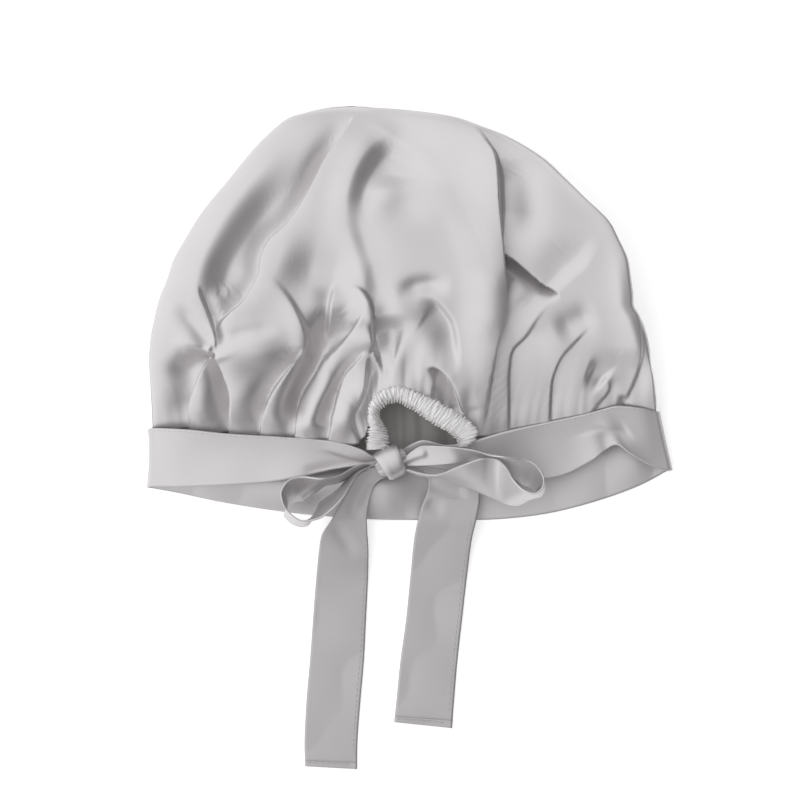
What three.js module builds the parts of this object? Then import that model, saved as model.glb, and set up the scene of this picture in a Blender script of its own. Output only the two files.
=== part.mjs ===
// A silk sleeping bonnet laid flat on its front, back side up, with its ties made into a bow.
// Millimetres, +Z up from the table, +X to the right and +Y from the nape towards the crown.
// The origin lies on the table, under the middle of the crown.
import * as THREE from "three";

// Head band: one folded strip, laid flat so that it folds over at the two sides.
const BAND_FLAT_WIDTH = 280;
const BAND_HEIGHT = 31;
const BAND_THICKNESS = 1.2;
const BAND_FOLD_RADIUS = 2.6;
const BAND_SKEW = 4.2;
const SEAM_LINE_Y = -49;
const BACK_SEAM_SAG = 10;
const FRONT_RIM_SAG = 22;
const SEAM_ARCH = 18;
const RIM_ARCH = 11;
const SEAM_GAP = 0.6;
const NECK_HEIGHT = 3;
const NECK_THICKNESS = 2.6;
const NECK_TAPER = 70;
const NECK_DIP = 3.5;

// Crown: a gathered silk shell, puffed up over the table.
const CROWN_RISE = 170;
const CROWN_LOFT = 38;
const CROWN_RIGHT_LOFT = 45;
const CROWN_SIDE_HEIGHT = 13;
const CROWN_RIGHT_HEIGHT = 38;
const CROWN_LEAN = -30;
const CROWN_WALL = 1;
const CROWN_ROUNDNESS = 2.15;
const CROWN_FULLNESS = 0.5;
const PLEAT_DEPTH = 4;
const PLEAT_WIDTH = 7;

// Nape opening: an elastic in a gathered casing along an arch cut out of the crown.
const NAPE_WIDTH = 54;
const NAPE_RISE = 30;
const NAPE_LIFT = 14;
const NAPE_OFFSET = 7;
const NAPE_SQUARENESS = 2.6;
const CASING_RADIUS = 3;
const CASING_WALL = 0.7;
const CASING_GATHERS = 22;
const GATHER_DEPTH = 0.5;
const ELASTIC_RADIUS = 1.4;

// Ties: the band's ends, knotted into a bow with two loops and two tails.
const TIE_WIDTH = 29;
const TIE_THICKNESS = 0.9;
const KNOT_X = -10;
const KNOT_DROP = 13;
const KNOT_Z = 15;
const KNOT_TURN = 25;
const WRAP_WIDTH = 13;
const WRAP_SPAN = 16.5;
const WRAP_DEPTH = 14;
const WRAP_THICKNESS = 1.4;
const CORE_LENGTH = 18;
const TIE_SPACING = 4.8;
const LOOP_THROAT = 1.5;
const LOOP_GATHER = 6;
const LOOP_DIP = 1;
const LEFT_LOOP_REACH = 54;
const LEFT_LOOP_LOW_SPREAD = 5;
const LEFT_LOOP_HIGH_SPREAD = 12;
const LEFT_LOOP_LEAN = -2;
const LEFT_LOOP_TURN = 203;
const RIGHT_LOOP_REACH = 75;
const RIGHT_LOOP_LOW_SPREAD = 12;
const RIGHT_LOOP_HIGH_SPREAD = 10;
const RIGHT_LOOP_LEAN = 9;
const RIGHT_LOOP_TURN = -9;
const LOOP_OVERHANG = 3;
const LOOP_CLEARANCE = 2;
const LEFT_NECK_OUT = 15;
const LEFT_NECK_TURN = -146;
const LEFT_NECK_DOWN = 15;
const RIGHT_NECK_OUT = 22;
const RIGHT_NECK_TURN = -10;
const RIGHT_NECK_DOWN = 16;
const TIE_NECK_WIDTH = 4;
const TIE_NECK_DEPTH = 3;
const TIE_NECK_DIP = 4;
const LEFT_TAIL_LENGTH = 134;
const LEFT_TAIL_TURN = -94;
const RIGHT_TAIL_LENGTH = 124;
const RIGHT_TAIL_TURN = -97;
const TAIL_FLARE = 24;
const TAIL_HEAD_WIDTH = 20;
const TAIL_HEAD_Z = 9;
const TAIL_DROP = 40;
const HEM_HEIGHT = 4;
const HEM_THICKNESS = 0.5;

// Stitching and clearances.
const THREAD_RADIUS = 0.25;
const STITCH_INSET = 1.6;
const OVERLOCK_RADIUS = 0.45;
const GAP = 0.3;

const SILK = { color: 0xcbc9ca, roughness: 0.38, metalness: 0 };
const SILK_LINING = { color: 0xbdb9b9, roughness: 0.5, metalness: 0 };
const GATHERED_SILK = { color: 0xdedcdc, roughness: 0.55, metalness: 0 };
const SEWING_THREAD = { color: 0xb3afae, roughness: 0.6, metalness: 0 };
const OVERLOCK_THREAD = { color: 0xe4e2e1, roughness: 0.7, metalness: 0 };
const WOVEN_ELASTIC = { color: 0xefeeec, roughness: 0.8, metalness: 0 };

const HALF_WIDTH = BAND_FLAT_WIDTH / 2;
const FOLD_TOP = BAND_THICKNESS / 2 + 2 * BAND_FOLD_RADIUS;
const NAPE_CENTRE = NAPE_OFFSET / HALF_WIDTH;
const NAPE_HALF = NAPE_WIDTH / 2 / HALF_WIDTH;

const bonnet = new THREE.Group();

const smooth = THREE.MathUtils.smoothstep;
const lerp = THREE.MathUtils.lerp;
const radians = THREE.MathUtils.degToRad;

function addPiece(name, geometry, finish, parent = bonnet) {
  const piece = new THREE.Mesh(geometry, new THREE.MeshStandardMaterial(finish));
  piece.name = name;
  parent.add(piece);
  return piece;
}

// A closed body from points and triangles, with its faces turned outwards.
function closedBody(points, triangles) {
  let volume = 0;
  for (let i = 0; i < triangles.length; i += 3) {
    const [a, b, c] = triangles.slice(i, i + 3).map((corner) => points[corner]);
    volume += a.dot(b.clone().cross(c));
  }
  const geometry = new THREE.BufferGeometry().setFromPoints(points);
  geometry.setIndex(volume < 0 ? triangles.reverse() : triangles);
  geometry.computeVertexNormals();
  return geometry;
}

// The triangles of the quads between two rows of points that go round in a ring.
function ringQuads(first, second, count) {
  const triangles = [];
  for (let i = 0; i < count; i++) {
    const next = (i + 1) % count;
    triangles.push(first + i, first + next, second + i, first + next, second + next, second + i);
  }
  return triangles;
}

// A closed body through a row of sections with the same count of points, capped at both ends.
function loft(sections) {
  const count = sections[0].length;
  const last = (sections.length - 1) * count;
  const triangles = [];
  for (let row = 0; row < sections.length - 1; row++)
    triangles.push(...ringQuads(row * count, (row + 1) * count, count));
  for (let corner = 1; corner < count - 1; corner++) {
    triangles.push(0, corner + 1, corner);
    triangles.push(last, last + corner, last + corner + 1);
  }
  return closedBody(sections.flat(), triangles);
}

// A ribbon between two edges: each station has the two edge points and the thickness there.
function ribbon(stations) {
  const middles = stations.map((s) => s.first.clone().lerp(s.second, 0.5));
  return loft(
    stations.map((station, i) => {
      const along = middles[Math.min(i + 1, middles.length - 1)].clone().sub(middles[Math.max(i - 1, 0)]);
      const across = station.second.clone().sub(station.first);
      const lift = along.cross(across).setLength(station.thickness / 2);
      return [
        station.first.clone().add(lift),
        station.second.clone().add(lift),
        station.second.clone().sub(lift),
        station.first.clone().sub(lift),
      ];
    }),
  );
}

function roundSection(radius, sides) {
  const shape = new THREE.Shape();
  for (let i = 0; i < sides; i++) {
    const angle = (2 * Math.PI * i) / sides;
    const point = [radius * Math.cos(angle), radius * Math.sin(angle)];
    if (i) shape.lineTo(...point);
    else shape.moveTo(...point);
  }
  return shape;
}

function cordAlong(points, radius, steps, sides = 6) {
  const extrudePath = new THREE.CatmullRomCurve3(points);
  return new THREE.ExtrudeGeometry(roundSection(radius, sides), { extrudePath, steps });
}

// The head band's edges. u runs from -1 at the left fold to 1 at the right fold.
const seamBackY = (u) => SEAM_LINE_Y + BAND_SKEW * u - BACK_SEAM_SAG * (1 - u * u);
const rimFrontY = (u) => SEAM_LINE_Y - BAND_HEIGHT + BAND_SKEW * u - FRONT_RIM_SAG * (1 - u * u);
const archAt = (u) => Math.max(0, 1 - u * u) ** 0.7;
const seamBackZ = (u) => lerp(FOLD_TOP, SEAM_ARCH, archAt(u));
const rimBackZ = (u) => lerp(FOLD_TOP, RIM_ARCH, archAt(u));

function backBandEdges(u) {
  const climb = seamBackZ(u) - rimBackZ(u);
  const seam = new THREE.Vector3(HALF_WIDTH * u, seamBackY(u), seamBackZ(u));
  const rimY = seam.y - Math.sqrt(BAND_HEIGHT ** 2 - climb ** 2);
  return { seam, rim: new THREE.Vector3(HALF_WIDTH * u, rimY, rimBackZ(u)) };
}

// The bow's knot: its place and the direction that the ties pass through it.
const knot = new THREE.Vector3(KNOT_X, seamBackY(KNOT_X / HALF_WIDTH) - KNOT_DROP, KNOT_Z);
const through = new THREE.Vector3(Math.cos(radians(KNOT_TURN)), Math.sin(radians(KNOT_TURN)), 0);
const acrossKnot = new THREE.Vector3(through.y, -through.x, 0);

// A point just outside one end of the knot's core. side is -1 at the left and 1 at the right.
function knotEnd(side, across, clearance) {
  return knot
    .clone()
    .addScaledVector(through, side * (CORE_LENGTH / 2 + clearance))
    .addScaledVector(acrossKnot, across);
}

// The ends of the band lie a little out from the core, which is turned away from them.
const NECK_CLEARANCE = GAP + NECK_HEIGHT * Math.abs(through.y);

// The stretch of band from a side fold to the knot, drawn in to a gathered neck.
function backBandStations(side, count) {
  const end = knotEnd(side, -TIE_SPACING, NECK_CLEARANCE).setZ(knot.z - NECK_DIP);
  const start = (side * (HALF_WIDTH - BAND_FOLD_RADIUS)) / HALF_WIDTH;
  const tip = end.x / HALF_WIDTH;
  const stations = [];
  for (let i = 0; i <= count; i++) {
    const u = lerp(start, tip, i / count);
    const { seam, rim } = backBandEdges(u);
    const left = Math.abs(u - tip) * HALF_WIDTH;
    const seamDraw = 1 - smooth(left, 0, NECK_TAPER / 2);
    const rimDraw = 1 - smooth(left, 0, NECK_TAPER);
    const half = new THREE.Vector3(0, NECK_HEIGHT / 2, 0);
    const drawn = end.clone().setX(seam.x);
    stations.push({
      first: seam.lerp(drawn.clone().add(half), seamDraw),
      second: rim.lerp(drawn.clone().sub(half), rimDraw),
      thickness: lerp(BAND_THICKNESS, NECK_THICKNESS, seamDraw ** 2),
    });
  }
  return stations;
}

function foldStations(side, steps) {
  const centreX = side * (HALF_WIDTH - BAND_FOLD_RADIUS);
  const centreZ = BAND_THICKNESS / 2 + BAND_FOLD_RADIUS;
  const { seam, rim } = backBandEdges(centreX / HALF_WIDTH);
  const frontRimY = rimFrontY(centreX / HALF_WIDTH);
  const stations = [];
  for (let i = 1; i < steps; i++) {
    const angle = (Math.PI * i) / steps;
    const x = centreX + side * BAND_FOLD_RADIUS * Math.sin(angle);
    const z = centreZ + BAND_FOLD_RADIUS * Math.cos(angle);
    const top = 1 - i / steps;
    stations.push({
      first: new THREE.Vector3(x, lerp(frontRimY + BAND_HEIGHT, seam.y, top), z + (seam.z - FOLD_TOP) * top),
      second: new THREE.Vector3(x, lerp(frontRimY, rim.y, top), z + (rim.z - FOLD_TOP) * top),
      thickness: BAND_THICKNESS,
    });
  }
  return stations;
}

function frontBandStations(count) {
  const end = (HALF_WIDTH - BAND_FOLD_RADIUS) / HALF_WIDTH;
  const stations = [];
  for (let i = 0; i <= count; i++) {
    const u = lerp(-end, end, i / count);
    const rimY = rimFrontY(u);
    stations.push({
      first: new THREE.Vector3(HALF_WIDTH * u, rimY + BAND_HEIGHT, BAND_THICKNESS / 2),
      second: new THREE.Vector3(HALF_WIDTH * u, rimY, BAND_THICKNESS / 2),
      thickness: BAND_THICKNESS,
    });
  }
  return stations;
}

const backLeft = backBandStations(-1, 22);
const backRight = backBandStations(1, 22);
const front = frontBandStations(18);
const bandStations = [
  ...backLeft.toReversed(),
  ...foldStations(-1, 6),
  ...front,
  ...foldStations(1, 6).toReversed(),
  ...backRight,
];
addPiece("headband", ribbon(bandStations), SILK_LINING);

// A line of stitching just inside the seam edge, on the face that looks up.
function seamThread(stations) {
  const path = stations.map((station) => {
    const inset = station.second.clone().sub(station.first).setLength(STITCH_INSET);
    const above = station.thickness / 2 + GAP + THREAD_RADIUS;
    return station.first.clone().add(inset).add(new THREE.Vector3(0, 0, above));
  });
  return cordAlong(path, THREAD_RADIUS, 28, 5);
}
const untapered = Math.ceil((22 * (HALF_WIDTH - NECK_TAPER / 2)) / (HALF_WIDTH + Math.abs(KNOT_X)));
addPiece("seam_thread_back_left", seamThread(backLeft.slice(1, untapered)), SEWING_THREAD);
addPiece("seam_thread_back_right", seamThread(backRight.slice(1, untapered)), SEWING_THREAD);
addPiece("seam_thread_front", seamThread(front.slice(1, -1)), SEWING_THREAD);

// The nape arch, as a place across the band and a share of the full rise.
function napeArch(turn) {
  const bend = 2 / NAPE_SQUARENESS;
  const across = -Math.sign(Math.cos(turn)) * Math.abs(Math.cos(turn)) ** bend;
  return { across, share: Math.max(0, Math.sin(turn)) ** bend };
}

// The crown's rim all round: the back with its nape arch, then the front.
function crownRim() {
  const rim = [];
  const left = NAPE_CENTRE - NAPE_HALF;
  const right = NAPE_CENTRE + NAPE_HALF;
  const onBack = (u, share) => rim.push({
    u,
    back: true,
    y: seamBackY(u) + SEAM_GAP + NAPE_RISE * share,
    z: seamBackZ(u) + NAPE_LIFT * share,
  });
  for (let i = 0; i < 19; i++) onBack(lerp(-1, left, i / 19), 0);
  for (let i = 0; i <= 8; i++) {
    const { across, share } = napeArch((Math.PI * i) / 8);
    onBack(NAPE_CENTRE + NAPE_HALF * across, share);
  }
  for (let i = 1; i <= 16; i++) onBack(lerp(right, 1, i / 16), 0);
  for (let i = 1; i < 9; i++) {
    const u = Math.cos((Math.PI * i) / 9);
    rim.push({ u, back: false, y: rimFrontY(u) + BAND_HEIGHT + SEAM_GAP, z: 0 });
  }
  return rim;
}

// Pleats of the crown: where each starts on the seam, where it runs to, and its share of the depth.
const PLEATS = [
  { foot: -0.86, tip: -0.74, reach: 0.34, share: 0.7 },
  { foot: -0.7, tip: -0.72, reach: 0.42, share: 1 },
  { foot: -0.55, tip: -0.42, reach: 0.62, share: 1 },
  { foot: -0.42, tip: -0.17, reach: 0.8, share: 1 },
  { foot: -0.28, tip: -0.16, reach: 0.45, share: 0.8 },
  { foot: 0.33, tip: 0.33, reach: 0.85, share: 1.1 },
  { foot: 0.55, tip: 0.66, reach: 0.5, share: 0.9 },
  { foot: 0.73, tip: 0.8, reach: 0.4, share: 0.9 },
  { foot: 0.88, tip: 0.92, reach: 0.4, share: 0.6 },
];

function pleatLift(u, climb) {
  let lift = 0;
  for (const pleat of PLEATS) {
    const centre = lerp(pleat.foot, pleat.tip, Math.min(1, climb / pleat.reach));
    const off = ((u - centre) * HALF_WIDTH) / PLEAT_WIDTH;
    const fade = smooth(climb, 0, 0.1) * (1 - smooth(climb, 0.6 * pleat.reach, pleat.reach));
    lift += PLEAT_DEPTH * pleat.share * fade * Math.exp(-off * off);
  }
  return lift;
}

// Soft hollows between the folds of the crown: the line that each follows, seen from above.
const HOLLOWS = [
  { line: [[-104, -8], [-101, 30], [-84, 64], [-64, 90]], depth: 13, width: 10 },
  { line: [[-64, 32], [-36, 29]], depth: 7, width: 11 },
  { line: [[-47, 10], [-49, -8], [-56, -30], [-63, -48]], depth: 12, width: 8 },
  { line: [[-24, 62], [-20, 88], [-2, 104]], depth: 9, width: 10 },
  { line: [[-20, 4], [8, 6]], depth: 6, width: 8 },
  { line: [[54, 92], [57, 60], [55, 30], [52, 0], [46, -40]], depth: 7, width: 9 },
  { line: [[57, 36], [66, 31], [76, 20]], depth: 12, width: 6 },
  { line: [[84, -4], [80, -20], [75, -45]], depth: 4, width: 7 },
  { line: [[97, -28], [106, -36]], depth: 6, width: 6 },
  { line: [[124, 12], [126, -8], [122, -28], [115, -40]], depth: 5, width: 5 },
];

function distanceToLine(x, y, line) {
  let nearest = Infinity;
  for (let i = 1; i < line.length; i++) {
    const [ax, ay] = line[i - 1];
    const [bx, by] = line[i];
    const along = ((x - ax) * (bx - ax) + (y - ay) * (by - ay)) / ((bx - ax) ** 2 + (by - ay) ** 2);
    const t = Math.min(1, Math.max(0, along));
    nearest = Math.min(nearest, Math.hypot(x - lerp(ax, bx, t), y - lerp(ay, by, t)));
  }
  return nearest;
}

function hollowDrop(x, y, climb) {
  const fade = smooth(climb, 0, 0.1) * (1 - smooth(climb, 0.85, 1));
  let drop = 0;
  for (const { line, depth, width } of HOLLOWS) {
    drop += depth * Math.exp(-((distanceToLine(x, y, line) / width) ** 2));
  }
  return fade * drop;
}

// A point of the crown's outside above one place of its rim. climb is 0 at the rim and 1 at the top.
function crownPoint(rimPlace, climb) {
  const { u, back, y: rimY, z: rimZ } = rimPlace;
  const shrink = (1 - climb ** CROWN_ROUNDNESS) ** (1 / CROWN_ROUNDNESS);
  const x = HALF_WIDTH * shrink * u + CROWN_LEAN * climb ** 10;
  const y = lerp(rimY, SEAM_LINE_Y + CROWN_RISE, climb);
  const bulge = Math.sqrt(Math.max(0, 1 - u * u));
  const lift = smooth(u, 0, 0.6) * (1 - smooth(climb, 0.6, 1));
  const edge = lerp(CROWN_SIDE_HEIGHT, CROWN_RIGHT_HEIGHT, lift);
  const side = lerp(BAND_FOLD_RADIUS, edge, smooth(climb, 0, lerp(0.35, 0.22, lift)));
  if (!back) {
    const drop = Math.max(0, 1 - bulge / 0.75) ** 2;
    return new THREE.Vector3(x, y, side * lerp(drop, 1, smooth(climb, 0.8, 1)));
  }
  const top = Math.max(0, climb - 0.45) / 0.55;
  const peak = lerp(CROWN_LOFT, CROWN_RIGHT_LOFT, smooth(u, 0.25, 0.9));
  const ridge = lerp(side, peak, Math.sqrt(1 - top * top));
  const dome = side + (ridge - side) * bulge ** CROWN_FULLNESS;
  const puffed = lerp(0.5, 0.85, smooth(u, 0, 0.4));
  const rise = 1 - (1 - Math.min(1, climb / puffed)) ** 2;
  const folds = (pleatLift(u, climb) - hollowDrop(x, y, climb)) * bulge;
  return new THREE.Vector3(x, y, lerp(lerp(rimZ, side, 1 - bulge), dome, rise) + folds);
}

function crownShell() {
  const rim = crownRim();
  const count = rim.length;
  const rows = 12;
  const climbs = Array.from({ length: rows }, (_, row) => Math.sin((Math.PI / 2) * (row / rows) ** 1.3));
  const outer = climbs.map((climb) => rim.map((place) => crownPoint(place, climb)));
  const inner = outer.map((points, row) =>
    points.map((point, i) => {
      const around = points[(i + 1) % count].clone().sub(points[(i + count - 1) % count]);
      const next = outer[Math.min(row + 1, rows - 1)][i];
      const up = next.clone().sub(outer[Math.max(row - 1, 0)][i]);
      const inwards = up.cross(around).setLength(CROWN_WALL);
      return point.clone().add(inwards);
    }),
  );
  const top = crownPoint({ u: 0, back: true, y: 0, z: 0 }, 1);
  const innerTop = top.clone().add(new THREE.Vector3(0, -CROWN_WALL, 0));
  const points = [...outer.flat(), ...inner.flat(), top, innerTop];
  const innerStart = rows * count;
  const triangles = ringQuads(innerStart, 0, count);
  for (let row = 0; row < rows - 1; row++) {
    triangles.push(...ringQuads(row * count, (row + 1) * count, count));
    triangles.push(...ringQuads(innerStart + (row + 1) * count, innerStart + row * count, count));
  }
  const lastOuter = (rows - 1) * count;
  const lastInner = innerStart + lastOuter;
  for (let i = 0; i < count; i++) {
    const next = (i + 1) % count;
    triangles.push(lastOuter + i, lastOuter + next, points.length - 2);
    triangles.push(lastInner + next, lastInner + i, points.length - 1);
  }
  return closedBody(points, triangles);
}
addPiece("crown", crownShell(), SILK);

// The elastic's route: the nape arch, set in from the crown's edge by the casing's own size.
function napeRoute(inset, steps) {
  const halfWidth = NAPE_WIDTH / 2 - inset;
  const rise = NAPE_RISE - inset;
  const route = [];
  for (let i = 0; i <= steps; i++) {
    const { across, share } = napeArch((Math.PI * i) / steps);
    const u = NAPE_CENTRE + (halfWidth * across) / HALF_WIDTH;
    const y = seamBackY(u) + SEAM_GAP + GAP + rise * share;
    route.push(new THREE.Vector3(HALF_WIDTH * u, y, seamBackZ(u) + NAPE_LIFT * share));
  }
  return route;
}

const casingInset = CASING_RADIUS + 2 * GAP;
const napeCurve = new THREE.CatmullRomCurve3(napeRoute(casingInset, 16));

// The casing: a tube with a bore for the elastic, its outside drawn up into gathers.
function napeCasing() {
  const steps = CASING_GATHERS * 2;
  const sides = 8;
  const bore = CASING_RADIUS - CASING_WALL - GATHER_DEPTH;
  const frames = napeCurve.computeFrenetFrames(steps, false);
  const points = [];
  for (const inside of [false, true])
    for (let i = 0; i <= steps; i++) {
      const centre = napeCurve.getPointAt(i / steps);
      const radius = inside ? bore : CASING_RADIUS - (i % 2) * GATHER_DEPTH;
      for (let side = 0; side < sides; side++) {
        const angle = (2 * Math.PI * side) / sides;
        points.push(
          centre
            .clone()
            .addScaledVector(frames.normals[i], radius * Math.cos(angle))
            .addScaledVector(frames.binormals[i], radius * Math.sin(angle)),
        );
      }
    }
  const inner = (steps + 1) * sides;
  const triangles = [...ringQuads(inner, 0, sides), ...ringQuads(steps * sides, inner + steps * sides, sides)];
  for (let i = 0; i < steps; i++) {
    triangles.push(...ringQuads(i * sides, (i + 1) * sides, sides));
    triangles.push(...ringQuads(inner + (i + 1) * sides, inner + i * sides, sides));
  }
  return closedBody(points, triangles);
}
addPiece("nape_casing", napeCasing(), GATHERED_SILK);
addPiece("nape_elastic", cordAlong(napeCurve.getSpacedPoints(24), ELASTIC_RADIUS, 44), WOVEN_ELASTIC);
const overlockInset = casingInset + CASING_RADIUS + GAP + OVERLOCK_RADIUS;
addPiece("nape_overlock_thread", cordAlong(napeRoute(overlockInset, 16), OVERLOCK_RADIUS, 40, 5), OVERLOCK_THREAD);

// The knot: a gathered core of both ties with one turn of tie wrapped round it.
const knotGroup = new THREE.Group();
knotGroup.position.copy(knot);
knotGroup.rotation.set(Math.PI / 2, Math.PI / 2 + radians(KNOT_TURN), 0);
bonnet.add(knotGroup);

function ovalExtrusion(span, depth, length, hole) {
  const shape = new THREE.Shape().absellipse(0, 0, span / 2, depth / 2, 0, 2 * Math.PI);
  if (hole) shape.holes.push(new THREE.Path().absellipse(0, 0, hole.span / 2, hole.depth / 2, 0, 2 * Math.PI));
  const geometry = new THREE.ExtrudeGeometry(shape, { depth: length, bevelEnabled: false, curveSegments: 20 });
  return geometry.translate(0, 0, -length / 2);
}
const wrapHole = { span: WRAP_SPAN - 2 * WRAP_THICKNESS, depth: WRAP_DEPTH - 2 * WRAP_THICKNESS };
addPiece("knot_wrap", ovalExtrusion(WRAP_SPAN, WRAP_DEPTH, WRAP_WIDTH, wrapHole), SILK, knotGroup);
const coreSpan = wrapHole.span - 2 * GAP;
const coreDepth = wrapHole.depth - 2 * GAP;
addPiece("knot_core", ovalExtrusion(coreSpan, coreDepth, CORE_LENGTH), SILK_LINING, knotGroup);

// A group at a joint of the ties, turned about Z so that its +X runs along the piece.
function jointGroup(place, turn) {
  const group = new THREE.Group();
  group.position.copy(place);
  group.rotation.z = radians(turn);
  bonnet.add(group);
  return group;
}

// A bow loop: the tie goes out along a teardrop and comes back. Its high edge leans away from its
// low edge, and the height between them is what is left of the tie's width.
function bowLoop(loop) {
  const stations = [];
  const steps = 40;
  for (let i = 0; i <= steps; i++) {
    const run = i / steps;
    const out = Math.sin(Math.PI * run) ** 2;
    const swing = Math.sin(2 * Math.PI * run) * Math.sin(Math.PI * run);
    const throat = LOOP_THROAT * Math.cos(Math.PI * run);
    const reach = (loop.reach - LOOP_OVERHANG) * out;
    const low = new THREE.Vector3(reach, throat + loop.lowSpread * swing, loop.lift * smooth(out, 0, 0.3));
    const width = lerp(LOOP_GATHER, TIE_WIDTH, smooth(out, 0, 0.55));
    const sideways = (loop.highSpread - loop.lowSpread) * swing + loop.lean * out;
    const climb = new THREE.Vector3(LOOP_OVERHANG * out, sideways, 0);
    climb.z = Math.sqrt(width ** 2 - climb.lengthSq());
    stations.push({ first: low, second: low.clone().add(climb), thickness: TIE_THICKNESS });
  }
  return ribbon(stations);
}
const loopFoot = knot.z - LOOP_DIP;
const leftLoopJoint = knotEnd(-1, 0, 2 * GAP).setZ(loopFoot);
const rightLoopJoint = knotEnd(1, 0, 4 * GAP).setZ(loopFoot);
const leftLoop = jointGroup(leftLoopJoint, LEFT_LOOP_TURN);
const rightLoop = jointGroup(rightLoopJoint, RIGHT_LOOP_TURN);
const leftLoopShape = {
  reach: LEFT_LOOP_REACH,
  lowSpread: LEFT_LOOP_LOW_SPREAD,
  highSpread: LEFT_LOOP_HIGH_SPREAD,
  lean: LEFT_LOOP_LEAN,
  lift: 0,
};
const rightLoopShape = {
  reach: RIGHT_LOOP_REACH,
  lowSpread: RIGHT_LOOP_LOW_SPREAD,
  highSpread: RIGHT_LOOP_HIGH_SPREAD,
  lean: RIGHT_LOOP_LEAN,
  lift: SEAM_ARCH + LOOP_CLEARANCE - loopFoot,
};
addPiece("bow_loop_left", bowLoop(leftLoopShape), SILK, leftLoop);
addPiece("bow_loop_right", bowLoop(rightLoopShape), SILK, rightLoop);

// The neck of a tie: rounded at the root that it swings about, gathered where it leaves the knot,
// and spreading as it turns towards its tail.
function tieNeck(route) {
  const sections = [];
  const addSection = (centre, heading, half, deep) => {
    const across = new THREE.Vector3(-heading.y, heading.x, 0).setLength(half);
    const up = new THREE.Vector3(0, 0, deep);
    sections.push([
      centre.clone().add(across).add(up),
      centre.clone().sub(across).add(up),
      centre.clone().sub(across).sub(up),
      centre.clone().add(across).sub(up),
    ]);
  };
  const root = route.getPoint(0);
  const outwards = route.getTangent(0).setZ(0).normalize();
  for (const angle of [15, 40, 65].map(radians)) {
    const behind = root.clone().addScaledVector(outwards, (-TIE_NECK_WIDTH / 2) * Math.cos(angle));
    addSection(behind, outwards, (TIE_NECK_WIDTH / 2) * Math.sin(angle), TIE_NECK_DEPTH / 2);
  }
  const steps = 10;
  for (let i = 0; i <= steps; i++) {
    const run = i / steps;
    const half = lerp(TIE_NECK_WIDTH, TAIL_HEAD_WIDTH, smooth(run, 0.25, 1)) / 2;
    const deep = lerp(TIE_NECK_DEPTH, TIE_THICKNESS, smooth(run, 0.1, 0.9)) / 2;
    addSection(route.getPoint(run), route.getTangent(run), half, deep);
  }
  return loft(sections);
}

// The height of a tail's middle surface at a distance from its head.
const tailZ = (run) => lerp(TAIL_HEAD_Z, TIE_THICKNESS / 2, smooth(run, 0, TAIL_DROP)) - TAIL_HEAD_Z;
const tailHalf = (run) => lerp(TAIL_HEAD_WIDTH, TIE_WIDTH, smooth(run, 0, TAIL_FLARE)) / 2;

function tieTail(length) {
  const stations = [];
  const steps = 24;
  for (let i = 0; i <= steps; i++) {
    const run = lerp(GAP, length, i / steps);
    stations.push({
      first: new THREE.Vector3(run, tailHalf(run), tailZ(run)),
      second: new THREE.Vector3(run, -tailHalf(run), tailZ(run)),
      thickness: TIE_THICKNESS,
    });
  }
  return ribbon(stations);
}

function tailEdgeThread(length) {
  const path = [];
  for (let i = 0; i <= 24; i++) {
    const run = lerp(TAIL_FLARE / 2, length - HEM_HEIGHT - 2 * GAP, i / 24);
    const above = TIE_THICKNESS / 2 + GAP + THREAD_RADIUS;
    path.push(new THREE.Vector3(run, tailHalf(run) - STITCH_INSET, tailZ(run) + above));
  }
  return cordAlong(path, THREAD_RADIUS, 30, 5);
}

const tailFloor = TIE_THICKNESS - TAIL_HEAD_Z;
const hemZ = tailFloor + GAP + HEM_THICKNESS / 2;

function makeTie(label, side, necks, tail) {
  const root = knotEnd(side, TIE_SPACING, GAP + TIE_NECK_WIDTH / 2).setZ(knot.z - TIE_NECK_DIP);
  const heading = (turn) => new THREE.Vector3(Math.cos(radians(turn)), Math.sin(radians(turn)), 0);
  const bend = root.clone().addScaledVector(heading(necks.turn), necks.out);
  const head = bend.clone().addScaledVector(heading(tail.turn), necks.down).setZ(TAIL_HEAD_Z);
  bend.setZ(lerp(root.z, head.z, 0.6));
  addPiece(`tie_neck_${label}`, tieNeck(new THREE.QuadraticBezierCurve3(root, bend, head)), SILK);
  const tailGroup = jointGroup(head, tail.turn);
  addPiece(`tie_tail_${label}`, tieTail(tail.length), SILK, tailGroup);
  const hem = new THREE.BoxGeometry(HEM_HEIGHT, TIE_WIDTH, HEM_THICKNESS);
  hem.translate(tail.length - HEM_HEIGHT / 2, 0, hemZ);
  addPiece(`tail_hem_${label}`, hem, SILK, tailGroup);
  addPiece(`tail_edge_thread_${label}`, tailEdgeThread(tail.length), SEWING_THREAD, tailGroup);
  const threadZ = hemZ + HEM_THICKNESS / 2 + GAP + THREAD_RADIUS;
  const threadX = tail.length - HEM_HEIGHT + STITCH_INSET / 2;
  const threadHalf = TIE_WIDTH / 2 - STITCH_INSET / 2;
  const ends = [-1, 0, 1].map((s) => new THREE.Vector3(threadX, s * threadHalf, threadZ));
  addPiece(`hem_thread_${label}`, cordAlong(ends, THREAD_RADIUS, 4, 5), SEWING_THREAD, tailGroup);
  return { root, head };
}
const leftTie = makeTie(
  "left",
  -1,
  { out: LEFT_NECK_OUT, turn: LEFT_NECK_TURN, down: LEFT_NECK_DOWN },
  { length: LEFT_TAIL_LENGTH, turn: LEFT_TAIL_TURN },
);
const rightTie = makeTie(
  "right",
  1,
  { out: RIGHT_NECK_OUT, turn: RIGHT_NECK_TURN, down: RIGHT_NECK_DOWN },
  { length: RIGHT_TAIL_LENGTH, turn: RIGHT_TAIL_TURN },
);

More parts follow.
